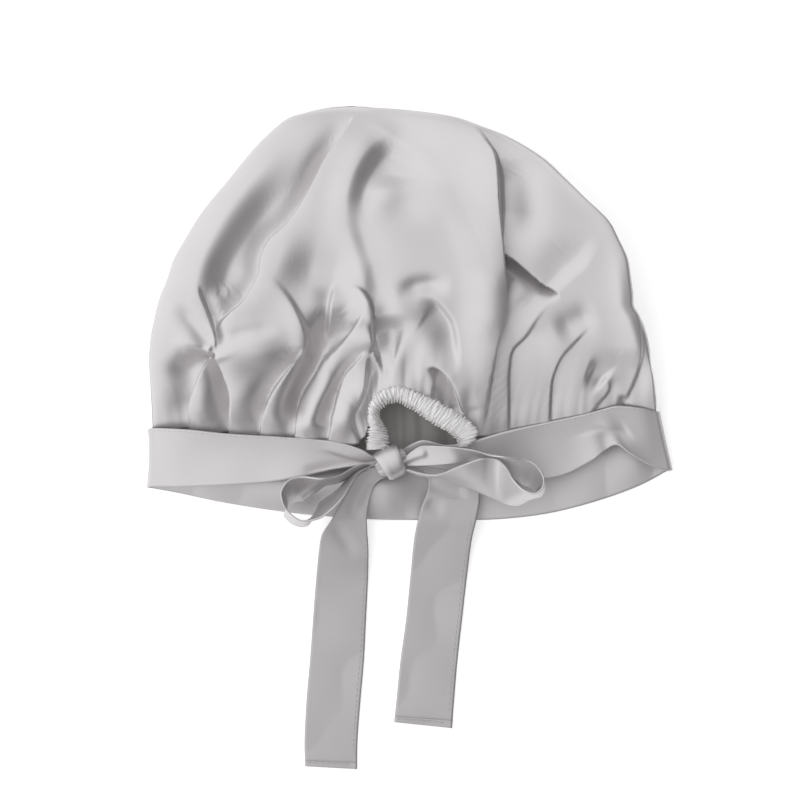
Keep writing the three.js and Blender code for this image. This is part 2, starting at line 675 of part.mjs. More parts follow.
// Where the soft pieces turn: a loop lifts about the top of its throat, a tie swings about its root
// and its tail lifts about its head.
bonnet.userData.pivots = {
  leftLoopLift: leftLoopJoint.clone().setZ(loopFoot + LOOP_GATHER),
  rightLoopLift: rightLoopJoint.clone().setZ(loopFoot + LOOP_GATHER),
  leftTieSwing: leftTie.root,
  rightTieSwing: rightTie.root,
  leftTailLift: leftTie.head.clone().setZ(TAIL_HEAD_Z + TIE_THICKNESS / 2),
  rightTailLift: rightTie.head.clone().setZ(TAIL_HEAD_Z + TIE_THICKNESS / 2),
};

export default bonnet;
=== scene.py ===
"""A silver-grey silk sleeping bonnet, laid flat on its front with its ties made into a bow.

Lengths are in millimetres until a mesh is made, in the frame of the loaded model: +Z up from the
table, +X to the right and +Y from the nape towards the crown.
"""

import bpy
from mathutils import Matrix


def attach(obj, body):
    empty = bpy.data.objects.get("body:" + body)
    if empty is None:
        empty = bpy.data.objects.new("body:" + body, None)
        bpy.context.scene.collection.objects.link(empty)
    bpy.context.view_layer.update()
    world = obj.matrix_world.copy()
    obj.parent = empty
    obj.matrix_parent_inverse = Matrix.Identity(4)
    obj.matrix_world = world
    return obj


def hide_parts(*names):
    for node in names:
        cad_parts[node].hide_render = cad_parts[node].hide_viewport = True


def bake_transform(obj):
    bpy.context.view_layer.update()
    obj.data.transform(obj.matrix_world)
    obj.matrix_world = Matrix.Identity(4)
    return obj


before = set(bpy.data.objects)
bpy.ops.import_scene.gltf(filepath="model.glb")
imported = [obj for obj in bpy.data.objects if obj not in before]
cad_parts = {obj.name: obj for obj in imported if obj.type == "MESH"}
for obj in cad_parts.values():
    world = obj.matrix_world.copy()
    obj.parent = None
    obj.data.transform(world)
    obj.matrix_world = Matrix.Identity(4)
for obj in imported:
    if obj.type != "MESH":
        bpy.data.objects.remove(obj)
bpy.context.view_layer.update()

import logging
import math
from collections.abc import Sequence
from dataclasses import dataclass
from enum import Enum
from typing import ClassVar

import bpy
import numpy as np
from mathutils import Vector

LOG = logging.getLogger("bonnet")
MM = 0.001
SEED = 11
# How many points are drawn between two given points of a curve, and along the path of a fold.
SPAN_POINTS = 24
PATH_POINTS = 120
Points2 = tuple[tuple[float, float], ...]
Points3 = tuple[tuple[float, float, float], ...]


class Body(Enum):
    """The bodies of the loaded model that the pieces move with."""

    CAP = "cap"
    LEFT_LOOP = "left_loop"
    RIGHT_LOOP = "right_loop"
    LEFT_NECK = "left_neck"
    LEFT_TAIL = "left_tail"
    RIGHT_NECK = "right_neck"
    RIGHT_TAIL = "right_tail"


class FoldKind(Enum):
    """How a fold of cloth stands: with one sharp side, or round on both sides."""

    PLEAT = "pleat"
    ROLL = "roll"


def smooth(x: np.ndarray, low: float, high: float) -> np.ndarray:
    """Gives a soft step from 0 at low to 1 at high."""
    t = np.clip((np.asarray(x, float) - low) / (high - low), 0, 1)
    return t * t * (3 - 2 * t)


def lerp(a: np.ndarray, b: np.ndarray, t: np.ndarray) -> np.ndarray:
    """Gives the value that lies a share t of the way from a to b."""
    return a + (b - a) * t


def spline(points: Sequence[Sequence[float]], count: int) -> np.ndarray:
    """Draws a smooth curve through points.

    Args:
        points: The points, in two or three dimensions.
        count: How many evenly spaced points the curve gets.

    Returns:
        The curve as an array of count points.
    """
    p = np.asarray(points, float)
    p = np.vstack([2 * p[0] - p[1], p, 2 * p[-1] - p[-2]])
    t = np.linspace(0, 1, SPAN_POINTS, endpoint=False)[:, None]
    spans = []
    for a, b, c, d in zip(p, p[1:], p[2:], p[3:]):
        spans.append(
            b + 0.5 * t * (c - a + t * (2 * a - 5 * b + 4 * c - d + t * (3 * (b - c) + d - a)))
        )
    curve = np.vstack([*spans, p[-2:-1]])
    length = np.concatenate([[0], np.cumsum(np.linalg.norm(np.diff(curve, axis=0), axis=1))])
    at = np.linspace(0, length[-1], count)
    return np.column_stack([np.interp(at, length, axis) for axis in curve.T])


def spline_pair(
    first: Sequence[Sequence[float]], second: Sequence[Sequence[float]], count: int
) -> tuple[np.ndarray, np.ndarray]:
    """Draws two curves whose points keep together, station by station.

    Args:
        first: The stations of the first curve.
        second: As many stations of the second curve.
        count: How many points each curve gets.

    Returns:
        The two curves.
    """
    both = spline(np.hstack([np.asarray(first, float), np.asarray(second, float)]), count)
    half = both.shape[1] // 2
    return both[:, :half], both[:, half:]


def ripple(xy: np.ndarray, height: float, wavelength: float, seed: int) -> np.ndarray:
    """Gives slow, uneven waves of cloth, the same at each run.

    Args:
        xy: Points seen from above.
        height: The usual height of a wave.
        wavelength: The usual length of a wave.
        seed: Picks the waves.

    Returns:
        The height at each point.
    """
    waves = 7
    random = np.random.default_rng(seed)
    total = np.zeros(xy.shape[:-1])
    for _ in range(waves):
        angle, phase = random.uniform(0, 2 * math.pi, 2)
        k = 2 * math.pi / (wavelength * random.uniform(0.7, 1.6))
        total += np.sin(k * (xy[..., 0] * math.cos(angle) + xy[..., 1] * math.sin(angle)) + phase)
    return height * total / math.sqrt(waves)


def uneven(along: np.ndarray, values: np.ndarray) -> np.ndarray:
    """Spreads values evenly over a length and gives what lies between them at each place."""
    return np.interp(along, np.linspace(0, along[-1], len(values)), values)


@dataclass(frozen=True)
class Fold:
    """One fold of cloth along a path seen from above. The high side lies to the left of the path.

    A pleat stands up by ridge, falls to -valley within drop, and its edge may hang over the fall.
    A roll is round on both sides, and with a negative ridge it is a hollow. The fades are the
    shares of the path over which a fold rises and dies away, and its widths change by the factor
    narrow from one end of the path to the other.
    """

    REACH: ClassVar[float] = 2.6
    END_SOFTNESS: ClassVar[float] = 4.0
    LEAN_SHARE: ClassVar[float] = 0.6

    path: Points2
    ridge: float
    width: float
    valley: float = 0.0
    hollow: float = 8.0
    drop: float = 2.0
    overhang: float = 0.0
    fade_in: float = 0.2
    fade_out: float = 0.2
    narrow: float = 1.0
    kind: FoldKind = FoldKind.PLEAT

    def _strength(self, run: np.ndarray, past: np.ndarray) -> np.ndarray:
        """Gives the share of its full height that the fold has at points.

        Args:
            run: How far along the path each point lies, from 0 to 1.
            past: How far beyond an end of the path it lies.

        Returns:
            The share at each point.
        """
        strength = np.ones(run.size)
        if self.fade_in:
            strength *= smooth(run, 0, self.fade_in)
        if self.fade_out:
            strength *= 1 - smooth(run, 1 - self.fade_out, 1)
        return strength * np.exp(-((past / self.END_SOFTNESS) ** 2))

    def add_to(self, xy: np.ndarray, height: np.ndarray, shift: np.ndarray) -> None:
        """Adds this fold to a cloth.

        Args:
            xy: The cloth's points seen from above.
            height: The height of each point, which is changed.
            shift: The sideways move of each point, which is changed.
        """
        curve = spline(self.path, PATH_POINTS)
        reach = self.REACH * max(self.width, self.hollow) * max(1, self.narrow) + self.drop
        inside = (xy > curve.min(0) - reach) & (xy < curve.max(0) + reach)
        near = np.flatnonzero(inside.all(1))
        if not near.size:
            return
        gaps = xy[near, None, :] - curve[None, :, :]
        closest = np.argmin((gaps**2).sum(2), axis=1)
        gap = gaps[np.arange(near.size), closest]
        tangent = np.gradient(curve, axis=0)
        tangent /= np.linalg.norm(tangent, axis=1)[:, None]
        normal = np.column_stack([-tangent[:, 1], tangent[:, 0]])[closest]
        off = (gap * normal).sum(1)
        past = np.maximum(np.linalg.norm(gap, axis=1) - np.abs(off), 0)
        run = closest / (len(curve) - 1)
        strength = self._strength(run, past)
        off = off / lerp(1.0, self.narrow, run)
        high = np.exp(-((off / self.width) ** 2))
        if self.kind is FoldKind.ROLL:
            height[near] += strength * self.ridge * high
            return
        fall = smooth(-off, 0, self.drop)
        low = np.exp(-((np.maximum(0, -off - self.drop) / self.hollow) ** 2))
        step = self.ridge * (1 - fall) - self.valley * fall * low
        height[near] += strength * np.where(off >= 0, self.ridge * high, step)
        lean = np.exp(-((off / (self.LEAN_SHARE * self.width)) ** 2))
        lean = np.where(off >= 0, lean, 1 - fall)
        shift[near] -= (strength * self.overhang * lean)[:, None] * normal


def roll(
    path: Points2, ridge: float, width: float, fade_in: float, fade_out: float, narrow: float = 1.0
) -> Fold:
    """Gives a fold that is round on both sides.

    Args:
        path: Its middle line.
        ridge: Its height, or below zero the depth of a hollow.
        width: How far it spreads to each side.
        fade_in: The share of the path over which it rises.
        fade_out: The share of the path over which it dies away.
        narrow: The factor by which its width changes along the path.

    Returns:
        The fold.
    """
    return Fold(
        path, ridge, width, fade_in=fade_in, fade_out=fade_out, narrow=narrow, kind=FoldKind.ROLL
    )


def fold_field(xy: np.ndarray, folds: Sequence[Fold]) -> tuple[np.ndarray, np.ndarray]:
    """Adds up what a set of folds does to a cloth.

    Args:
        xy: The cloth's points seen from above.
        folds: The folds.

    Returns:
        The height and the sideways move of each point.
    """
    height, shift = np.zeros(len(xy)), np.zeros((len(xy), 2))
    for fold in folds:
        fold.add_to(xy, height, shift)
    return height, shift


def grid_faces(rows: int, columns: int, ring: bool = False) -> list[tuple[int, int, int, int]]:
    """Gives the quads of a grid of points.

    Args:
        rows: How many rows of points there are.
        columns: How many points a row has.
        ring: Whether each row closes on itself.

    Returns:
        The quads, as indices of the points.
    """
    index = np.arange(rows * columns).reshape(rows, columns)
    if ring:
        index = np.hstack([index, index[:, :1]])
    quads = np.stack([index[:-1, :-1], index[:-1, 1:], index[1:, 1:], index[1:, :-1]], axis=-1)
    return [tuple(q) for q in quads.reshape(-1, 4).tolist()]


def capped_faces(rows: int, sides: int, first: int = 0) -> list[tuple[int, ...]]:
    """Gives the faces of a tube of rings that is closed at both ends.

    Args:
        rows: How many rings of points there are.
        sides: How many points a ring has.
        first: The index of the first point.

    Returns:
        The faces, as indices of the points.
    """
    faces = [tuple(first + i for i in face) for face in grid_faces(rows, sides, True)]
    last = first + (rows - 1) * sides
    faces.append(tuple(range(first, first + sides)))
    faces.append(tuple(reversed(range(last, last + sides))))
    return faces


def grid_normals(grid: np.ndarray) -> np.ndarray:
    """Gives the unit normal at each point of a grid, from its rows and columns."""
    normal = np.cross(np.gradient(grid, axis=1), np.gradient(grid, axis=0))
    size = np.linalg.norm(normal, axis=-1, keepdims=True)
    return normal / np.maximum(size, 1e-9)


def make_object(name: str, points: np.ndarray, faces: Sequence[Sequence[int]]) -> bpy.types.Object:
    """Makes a smooth-shaded mesh object.

    Args:
        name: The piece's name.
        points: Its points, in millimetres.
        faces: Its faces, as indices of the points.

    Returns:
        The new object.
    """
    mesh = bpy.data.meshes.new(name)
    mesh.from_pydata((np.asarray(points, float).reshape(-1, 3) * MM).tolist(), [], faces)
    mesh.validate()
    mesh.shade_smooth()
    piece = bpy.data.objects.new(name, mesh)
    bpy.context.scene.collection.objects.link(piece)
    return piece


def apply_modifiers(piece: bpy.types.Object) -> None:
    """Turns what a piece's modifiers show into its own mesh."""
    graph = bpy.context.evaluated_depsgraph_get()
    mesh = bpy.data.meshes.new_from_object(piece.evaluated_get(graph))
    piece.modifiers.clear()
    piece.data = mesh
    mesh.shade_smooth()


def thicken(
    piece: bpy.types.Object, thickness: float, offset: float = 0.0, back: bool = False
) -> None:
    """Gives a sheet its thickness.

    Args:
        piece: The sheet.
        thickness: The thickness, in millimetres.
        offset: -1 grows it inwards, 1 outwards and 0 both ways.
        back: Whether its inner side shows the second of the piece's materials.
    """
    solid = piece.modifiers.new("thickness", "SOLIDIFY")
    solid.thickness = thickness * MM
    solid.offset = offset
    solid.material_offset = int(back)
    apply_modifiers(piece)


def weld(piece: bpy.types.Object, distance: float) -> None:
    """Joins the points of a piece that lie within a distance of each other."""
    join = piece.modifiers.new("weld", "WELD")
    join.merge_threshold = distance * MM
    apply_modifiers(piece)


def tube(name: str, path: np.ndarray, radius: float, sides: int = 8) -> bpy.types.Object:
    """Makes a closed round strand along a path.

    Args:
        name: The piece's name.
        path: The strand's centreline.
        radius: Its radius.
        sides: How many sides its section has.

    Returns:
        The new object.
    """
    points, faces = strand(path, radius, sides, 0)
    return make_object(name, points, faces)


def strand(
    path: np.ndarray, radius: float, sides: int, first: int
) -> tuple[np.ndarray, list[tuple[int, ...]]]:
    """Gives the points and faces of a closed round strand.

    Args:
        path: The strand's centreline.
        radius: Its radius.
        sides: How many sides its section has.
        first: The index that its first point gets.

    Returns:
        The points and the faces.
    """
    tangent = np.gradient(path, axis=0)
    tangent /= np.maximum(np.linalg.norm(tangent, axis=1, keepdims=True), 1e-9)
    side = np.cross(tangent, (0.0, 0.0, 1.0))
    flat = np.linalg.norm(side, axis=1) < 1e-3
    side[flat] = (1.0, 0.0, 0.0)
    side /= np.linalg.norm(side, axis=1, keepdims=True)
    up = np.cross(side, tangent)
    angle = np.linspace(0, 2 * math.pi, sides, endpoint=False)[None, :, None]
    ring = path[:, None] + radius * (np.cos(angle) * side[:, None] + np.sin(angle) * up[:, None])
    return ring.reshape(-1, 3), capped_faces(len(path), sides, first)


def stitches(
    name: str, path: np.ndarray, pitch: float, length: float, radius: float
) -> bpy.types.Object:
    """Makes a row of running stitches, each a short strand that dips into the cloth at its ends.

    Args:
        name: The piece's name.
        path: The row's line on the cloth.
        pitch: The distance from stitch to stitch.
        length: The length of one stitch.
        radius: The thread's radius.

    Returns:
        The row as one object.
    """
    steps, sides, dip = 12, 6, 1.6
    total = np.linalg.norm(np.diff(path, axis=0), axis=1).sum()
    count = max(1, int(total / pitch))
    fine = spline(path, count * steps + 1)
    each = max(5, round(steps * length / pitch))
    points, faces, first = [], [], 0
    for i in range(count):
        dash = fine[i * steps : i * steps + each].copy()
        dash[:, 2] -= dip * radius * np.abs(np.linspace(-1, 1, len(dash))) ** 3
        made, quads = strand(dash, radius, sides, first)
        points.append(made)
        faces += quads
        first += len(made)
    return make_object(name, np.vstack(points), faces)


def ribbon_grid(first: np.ndarray, second: np.ndarray, across: int, bulge: np.ndarray) -> np.ndarray:
    """Fills the strip between two edges.

    Args:
        first: One edge.
        second: The other edge, point by point.
        across: How many points lie across the strip.
        bulge: How far the strip's middle stands out, at each station.

    Returns:
        The strip's points, as stations by points across.
    """
    share = np.linspace(0, 1, across)[None, :, None]
    grid = lerp(first[:, None], second[:, None], share)
    normal = grid_normals(grid)
    arch = np.asarray(bulge, float).reshape(-1, 1) * np.sin(math.pi * share[..., 0])
    return grid + normal * arch[..., None]


def hex_to_linear(code: str) -> tuple[float, float, float, float]:
    """Turns an sRGB hex colour into linear values with full alpha."""
    values = [int(code[i : i + 2], 16) / 255 for i in (0, 2, 4)]
    linear = [v / 12.92 if v <= 0.04045 else ((v + 0.055) / 1.055) ** 2.4 for v in values]
    return (*linear, 1.0)


def add_node(
    tree: bpy.types.NodeTree, kind: str, inputs: dict | None = None, **settings: object
) -> bpy.types.Node:
    """Adds one shader node.

    Args:
        tree: The node tree.
        kind: The node's type.
        inputs: Values or linked sockets for its inputs, by name.
        **settings: The node's own properties.

    Returns:
        The new node.
    """
    node = tree.nodes.new(kind)
    for key, value in settings.items():
        setattr(node, key, value)
    for key, value in (inputs or {}).items():
        if isinstance(value, bpy.types.NodeSocket):
            tree.links.new(value, node.inputs[key])
        else:
            node.inputs[key].default_value = value
    return node


@dataclass(frozen=True)
class Finish:
    """A woven material: its colours, its gloss and the threads that break up its surface.

    The clouds of shade are about 36 mm wide. WAVE_PERIOD is the width of one wave of the wave
    texture at a scale of 1, and BUMP_DEPTH is how deep the threads look, in metres.
    """

    CLOUD_SCALE: ClassVar[float] = 28.0
    WAVE_PERIOD: ClassVar[float] = 0.314
    BUMP_DEPTH: ClassVar[float] = 0.0001

    name: str
    slot: str
    colour: str
    shade: str
    roughness: float
    ior: float
    gloss: float
    sheen: float
    thread_mm: float
    relief: float

    def material(self) -> bpy.types.Material:
        """Builds the material, once.

        Returns:
            The material.
        """
        if self.name in bpy.data.materials:
            return bpy.data.materials[self.name]
        made = bpy.data.materials.new(self.name)
        made.use_nodes = True
        tree = made.node_tree
        tree.nodes.clear()
        place = add_node(tree, "ShaderNodeTexCoord").outputs["Object"]
        cloud = add_node(
            tree, "ShaderNodeTexNoise", {"Vector": place, "Scale": self.CLOUD_SCALE, "Detail": 3.0}
        )
        colour = add_node(
            tree,
            "ShaderNodeMix",
            {
                "Factor": cloud.outputs["Fac"],
                6: hex_to_linear(self.shade),
                7: hex_to_linear(self.colour),
            },
            data_type="RGBA",
        )
        # The real threads are finer than a pixel, so they are drawn at thread_mm.
        weave = add_node(
            tree,
            "ShaderNodeTexWave",
            {
                "Vector": place,
                "Scale": self.WAVE_PERIOD / (self.thread_mm * MM),
                "Distortion": 0.6,
            },
            bands_direction="DIAGONAL",
        )
        bump = add_node(
            tree,
            "ShaderNodeBump",
            {
                "Height": weave.outputs["Fac"],
                "Strength": self.relief,
                "Distance": self.BUMP_DEPTH,
            },
        )
        shader = add_node(
            tree,
            "ShaderNodeBsdfPrincipled",
            {
                "Base Color": colour.outputs[2],
                "Roughness": self.roughness,
                "IOR": self.ior,
                "Metallic": self.gloss,
                "Sheen Weight": self.sheen,
                "Sheen Roughness": 0.4,
                "Normal": bump.outputs["Normal"],
            },
        )
        add_node(tree, "ShaderNodeOutputMaterial", {"Surface": shader.outputs["BSDF"]})
        return made

    def dress(self, piece: bpy.types.Object) -> None:
        """Puts this finish on a piece."""
        if not piece.data.materials:
            piece.data.materials.append(self.material())


# Silk charmeuse: a smooth satin face whose soft gloss runs along every fold.
SILK = Finish(
    "silk charmeuse satin", "silk", "d8d5d6", "d2cfd0",
    roughness=0.42, ior=1.54, gloss=0.6, sheen=0.1, thread_mm=0.6, relief=0.05,
)
# The band and the knot's core: the same silk, seen a little duller.
LINING = Finish(
    "silk charmeuse lining", "silk_lining", "d8d5d6", "d2cfd0",
    roughness=0.46, ior=1.54, gloss=0.45, sheen=0.1, thread_mm=0.6, relief=0.05,
)
# The back of the satin, seen inside the bonnet: matt, as the real back is, and darker and a little warmer
# as painted shade for the shaded inside.
SHADED_BACK = Finish(
    "silk charmeuse back painted shade", "silk_lining", "beb9b9", "b6b1b1",
    roughness=0.6, ior=1.54, gloss=0.1, sheen=0.1, thread_mm=0.6, relief=0.05,
)
# Gathered silk over the elastic: crumpled, so its gloss is broken; its colour is painted lighter than the
# silk, as painted light against the shade in its gathers.
GATHERED_LIT = Finish(
    "gathered silk casing", "gathered_silk", "f4f3f3", "eceaea",
    roughness=0.5, ior=1.54, gloss=0.1, sheen=0.2, thread_mm=0.8, relief=0.15,
)
# The ties and their hems: the satin's duller side, a shade darker than the crown.
TIE = Finish(
    "silk satin tie", "silk", "c6c3c4", "bfbcbd",
    roughness=0.5, ior=1.54, gloss=0.35, sheen=0.1, thread_mm=0.6, relief=0.08,
)
# Polyester sewing thread: a fine dull line a shade darker than the silk.
THREAD = Finish(
    "polyester sewing thread", "sewing_thread", "cbc8c9", "c2bfc0",
    roughness=0.5, ior=1.58, gloss=0.2, sheen=0.2, thread_mm=0.5, relief=0.3,
)
# Overlock thread: whiter and fluffier than the sewing thread.
OVERLOCK = Finish(
    "textured overlock thread", "overlock_thread", "ebe9e8", "e2e0df",
    roughness=0.7, ior=1.58, gloss=0.0, sheen=0.4, thread_mm=0.5, relief=0.3,
)
# Woven elastic: matt, and hidden in its casing.
ELASTIC = Finish(
    "woven elastic", "woven_elastic", "efeeec", "e6e5e3",
    roughness=0.8, ior=1.52, gloss=0.0, sheen=0.1, thread_mm=1.0, relief=0.4,
)


def settle(piece: bpy.types.Object, body: Body, finish: Finish, *nodes: str) -> bpy.types.Object:
    """Dresses a finished piece and fixes it to a body.

    Args:
        piece: The piece.
        body: The body that it moves with.
        finish: Its material.
        *nodes: The nodes of the model that it stands for.

    Returns:
        The piece.
    """
    finish.dress(piece)
    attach(piece, body.value)
    if nodes:
        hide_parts(*nodes)
    LOG.info("%s: %d faces on %s", piece.name, len(piece.data.polygons), body.value)
    return piece


# The seam where the crown is sewn to the back of the band, with the nape arch, left to right.
CROWN_RIM: Points2 = (
    (-139, -53.4), (-128.6, -54), (-118.8, -54.5), (-97, -56.7), (-69.8, -58.3), (-42.5, -60.5),
    (-31.6, -62.1), (-25.1, -60.5), (-22.9, -54.5), (-21.8, -46.9), (-19.6, -39.8), (-14.2, -34.3),
    (-6, -31.6), (3.3, -33.8), (12, -38.2), (20.7, -43.1), (28.9, -48), (34.9, -52.9), (37.6, -57.2),
    (44.7, -57.2), (54, -55), (76.3, -50.1), (97, -45.8), (113.9, -41.4), (126.4, -42.5), (134.6, -44.1),
)

# The crown's outline seen from above, from each end of the seam to the top.
LEFT_OUTLINE: Points2 = (
    (-139, -53.4), (-139.5, -40.3), (-140.1, -27.3), (-140.6, -16.4), (-140.1, -5.5), (-137.9, 5.5),
    (-135.2, 16.4), (-130.8, 27.3), (-127, 38.2), (-121, 49.1), (-114.5, 60), (-106.3, 70.9),
    (-97, 81.8), (-88.3, 92.7), (-78.5, 103.6), (-66.5, 113.9), (-56.1, 117.7), (-45.2, 119.9),
    (-31.6, 121),
)
RIGHT_OUTLINE: Points2 = (
    (134.6, -44.1), (134.6, -38.2), (133.5, -27.3), (131.3, -16.4), (129.2, -5.5), (125.9, 4.4),
    (121.5, 12), (121, 18.5), (119.9, 27.3), (118.3, 38.2), (113.4, 49.1), (107.9, 58.9), (95.4, 70.9),
    (84.5, 81.8), (73, 92.7), (55.6, 103.6), (39.2, 110.1), (22.9, 115.5), (-4.4, 119.4), (-31.6, 121),
)

# The right edge of the centre panel, from the seam to the top.
PANEL_EDGE: Points2 = (
    (39.8, -60), (41.4, -44.7), (43.6, -28.3), (46.9, -9.3), (49.6, 2.7), (51, 16.4), (50.4, 33.8),
    (49.6, 49.1), (48.5, 67), (47.1, 90.5), (41.4, 101.4), (30.5, 115.5),
)

# The numbers of a fold are its ridge, width, valley, hollow, drop, overhang, fade in, fade out and
# narrowing. Those of a roll are its ridge, width, fade in, fade out and narrowing.
LEFT_FOLDS: tuple[Fold, ...] = (
    # The soft hollow beside the left roll, closing to a pinch at its lower end.
    Fold(
        ((-116.1, 8.7), (-115, 19.6), (-112.8, 31.6), (-107.9, 45.2), (-98.6, 61.6), (-85.6, 79),
         (-69.8, 95.9), (-58.9, 106.8)),
        0.9, 7, 4.6, 13, 15, 0, 0.2, 0.4, 1.2,
    ),
    Fold(
        ((-104.1, -10.9), (-105.7, -2.7), (-109, 7.6), (-112.3, 16.4), (-113.9, 25.1)),
        0.5, 6, 2.4, 5, 1.4, 1.2, 0.15, 0.4,
    ),
    # The long crease from the top to the pinch.
    Fold(
        ((-27.3, 118.8), (-35.4, 103.6), (-43.6, 90.5), (-50.1, 77.9), (-56.7, 66.5), (-64.3, 56.1),
         (-74.1, 46.9), (-77.9, 38.2), (-79.6, 28.3), (-83.4, 20.7), (-88.3, 13.1), (-94.8, 7.6),
         (-100.3, 2.7), (-104.1, -4.4)),
        1.0, 9, 4.2, 8, 1.6, 1.8, 0.25, 0.12,
    ),
    # The step down from the shoulder to the hollow above the leaf.
    roll(((-69.8, 37.1), (-56.7, 32.7), (-43.6, 29.4), (-22.9, 24)), -3.4, 14, 0.4, 0.4),
    # Small creases that run into the pinch from the left.
    roll(((-127.5, 14.2), (-118.8, 6), (-111.7, -2.7), (-106.3, -10.4)), -1.6, 5, 0.4, 0.1, 0.6),
    roll(((-129.7, -6), (-118.8, -7.6), (-105.7, -11.4)), 1.4, 4, 0.5, 0.1),
    roll(((-105.7, -12.5), (-113.4, -16.9), (-121, -22.9), (-128.6, -32.7)), -2.8, 5, 0.15, 0.4, 1.8),
    # The first pleat from the left, and the pocket behind it.
    Fold(
        ((-104.1, -13.6), (-107.9, -19.6), (-111.7, -26.7), (-115, -34.9), (-116.9, -43.6),
         (-118, -56.7)),
        1.0, 9, 3.4, 10, 1.4, 2.2, 0.2, 0,
    ),
    roll(((-105.7, -24), (-109.5, -33.8), (-111.2, -44.7), (-112.3, -57.8)), 1.3, 5, 0.4, 0),
    roll(
        ((-103.6, -14.7), (-101.4, -22.3), (-100.8, -29.4), (-101.9, -37.1), (-103.6, -46.9)),
        -1.6, 6, 0.12, 0.5,
    ),
    Fold(
        ((-104.6, -10.9), (-100.8, -18), (-97.6, -25.6), (-94.8, -34.3), (-94.8, -43.1), (-97, -58.9)),
        1.2, 13, 4.6, 8, 1.4, 2.2, 0.12, 0, 0.7,
    ),
    roll(((-89.4, -25.1), (-87.2, -40.3), (-88.3, -57.8)), 1.3, 7, 0.4, 0),
    # The dome between the first and the second pleat.
    roll(((-79.6, 9.8), (-81.8, -5.5), (-82.8, -24.5)), 2.0, 15, 0.4, 0.4),
    roll(((-100.3, -4.4), (-86.1, -1.6), (-67.6, 1.1)), -0.9, 4, 0.3, 0.4),
    # The second pleat: it turns over half way down.
    Fold(
        ((-57.2, -17.4), (-55.3, -10.9), (-55.3, -4.4), (-58.9, 5.5), (-64.3, 15.3), (-70.3, 22.9),
         (-77.4, 30.5)),
        1.4, 6, 1.2, 8, 2.4, 0.5, 0.15, 0.8,
    ),
    Fold(
        ((-55.6, -8.7), (-60, -19.1), (-65.4, -26.2), (-71.4, -34.3), (-75.8, -43.6), (-78.5, -51.2),
         (-79.6, -60)),
        1.0, 9, 3.6, 10, 1.3, 2.2, 0.25, 0,
    ),
    roll(((-57.8, -19.6), (-65.4, -31.6), (-70.3, -43.6), (-73, -57.8)), 1.4, 5, 0.4, 0),
    roll(
        ((-43.6, 14.2), (-43.6, -2.7), (-46.3, -15.3), (-52.3, -28.3), (-58.3, -39.2), (-62.7, -53.4)),
        -6.0, 10, 0.3, 0.15, 0.6,
    ),
    # The third pleat, with the leaf that hangs over it.
    Fold(
        ((-22.9, 12), (-28.3, -0.5), (-33.8, -8.7), (-43.6, -19.6), (-51.5, -32.2), (-57.8, -44.1),
         (-60.8, -60)),
        1.2, 10, 3.6, 10, 1.4, 2.2, 0.25, 0,
    ),
    roll(((-34.3, -17.4), (-43.1, -30.5), (-50.1, -43.6), (-54, -57.8)), 1.8, 6, 0.4, 0),
    Fold(
        ((-38.7, 25.1), (-41.4, 13.6), (-42.5, 2.7), (-43.6, -10.9)),
        1.2, 8, 1.2, 7, 1.6, 0, 0.25, 0.4,
    ),
    Fold(
        ((-21.3, -14.2), (-20.2, -2.7), (-20.2, 6.5), (-21.8, 14.2), (-26.2, 20.7), (-34.9, 24.5)),
        2.2, 8, 2.6, 9, 1.6, 1.6, 0.2, 0.55,
    ),
    roll(((-22.3, 19.6), (-25.1, 9.8), (-30.5, -1.1)), 1.2, 4, 0.3, 0.3),
    roll(((-29.4, -16.4), (-34.3, -28.3), (-40.9, -39.2), (-46.9, -53.4)), -2.4, 5, 0.3, 0.1),
    # The fourth pleat, beside the elastic.
    Fold(
        ((-21.8, -10.9), (-27.3, -19.6), (-32.2, -25.6), (-35.4, -33.8), (-38.2, -42.5), (-42, -58.9)),
        1.0, 6, 3.0, 8, 1.2, 2, 0.25, 0,
    ),
    roll(((-29.4, -29.4), (-33.2, -42.5), (-36.5, -57.8)), 1.2, 4, 0.4, 0),
    Fold(
        ((-26.7, -62.1), (-30.5, -52.3), (-30.5, -45.8), (-27.3, -39.8), (-24.5, -32.7), (-22.9, -22.9),
         (-21.8, -13.1)),
        1.2, 6, 3.0, 8, 1.8, 0.5, 0, 0.25,
    ),
)

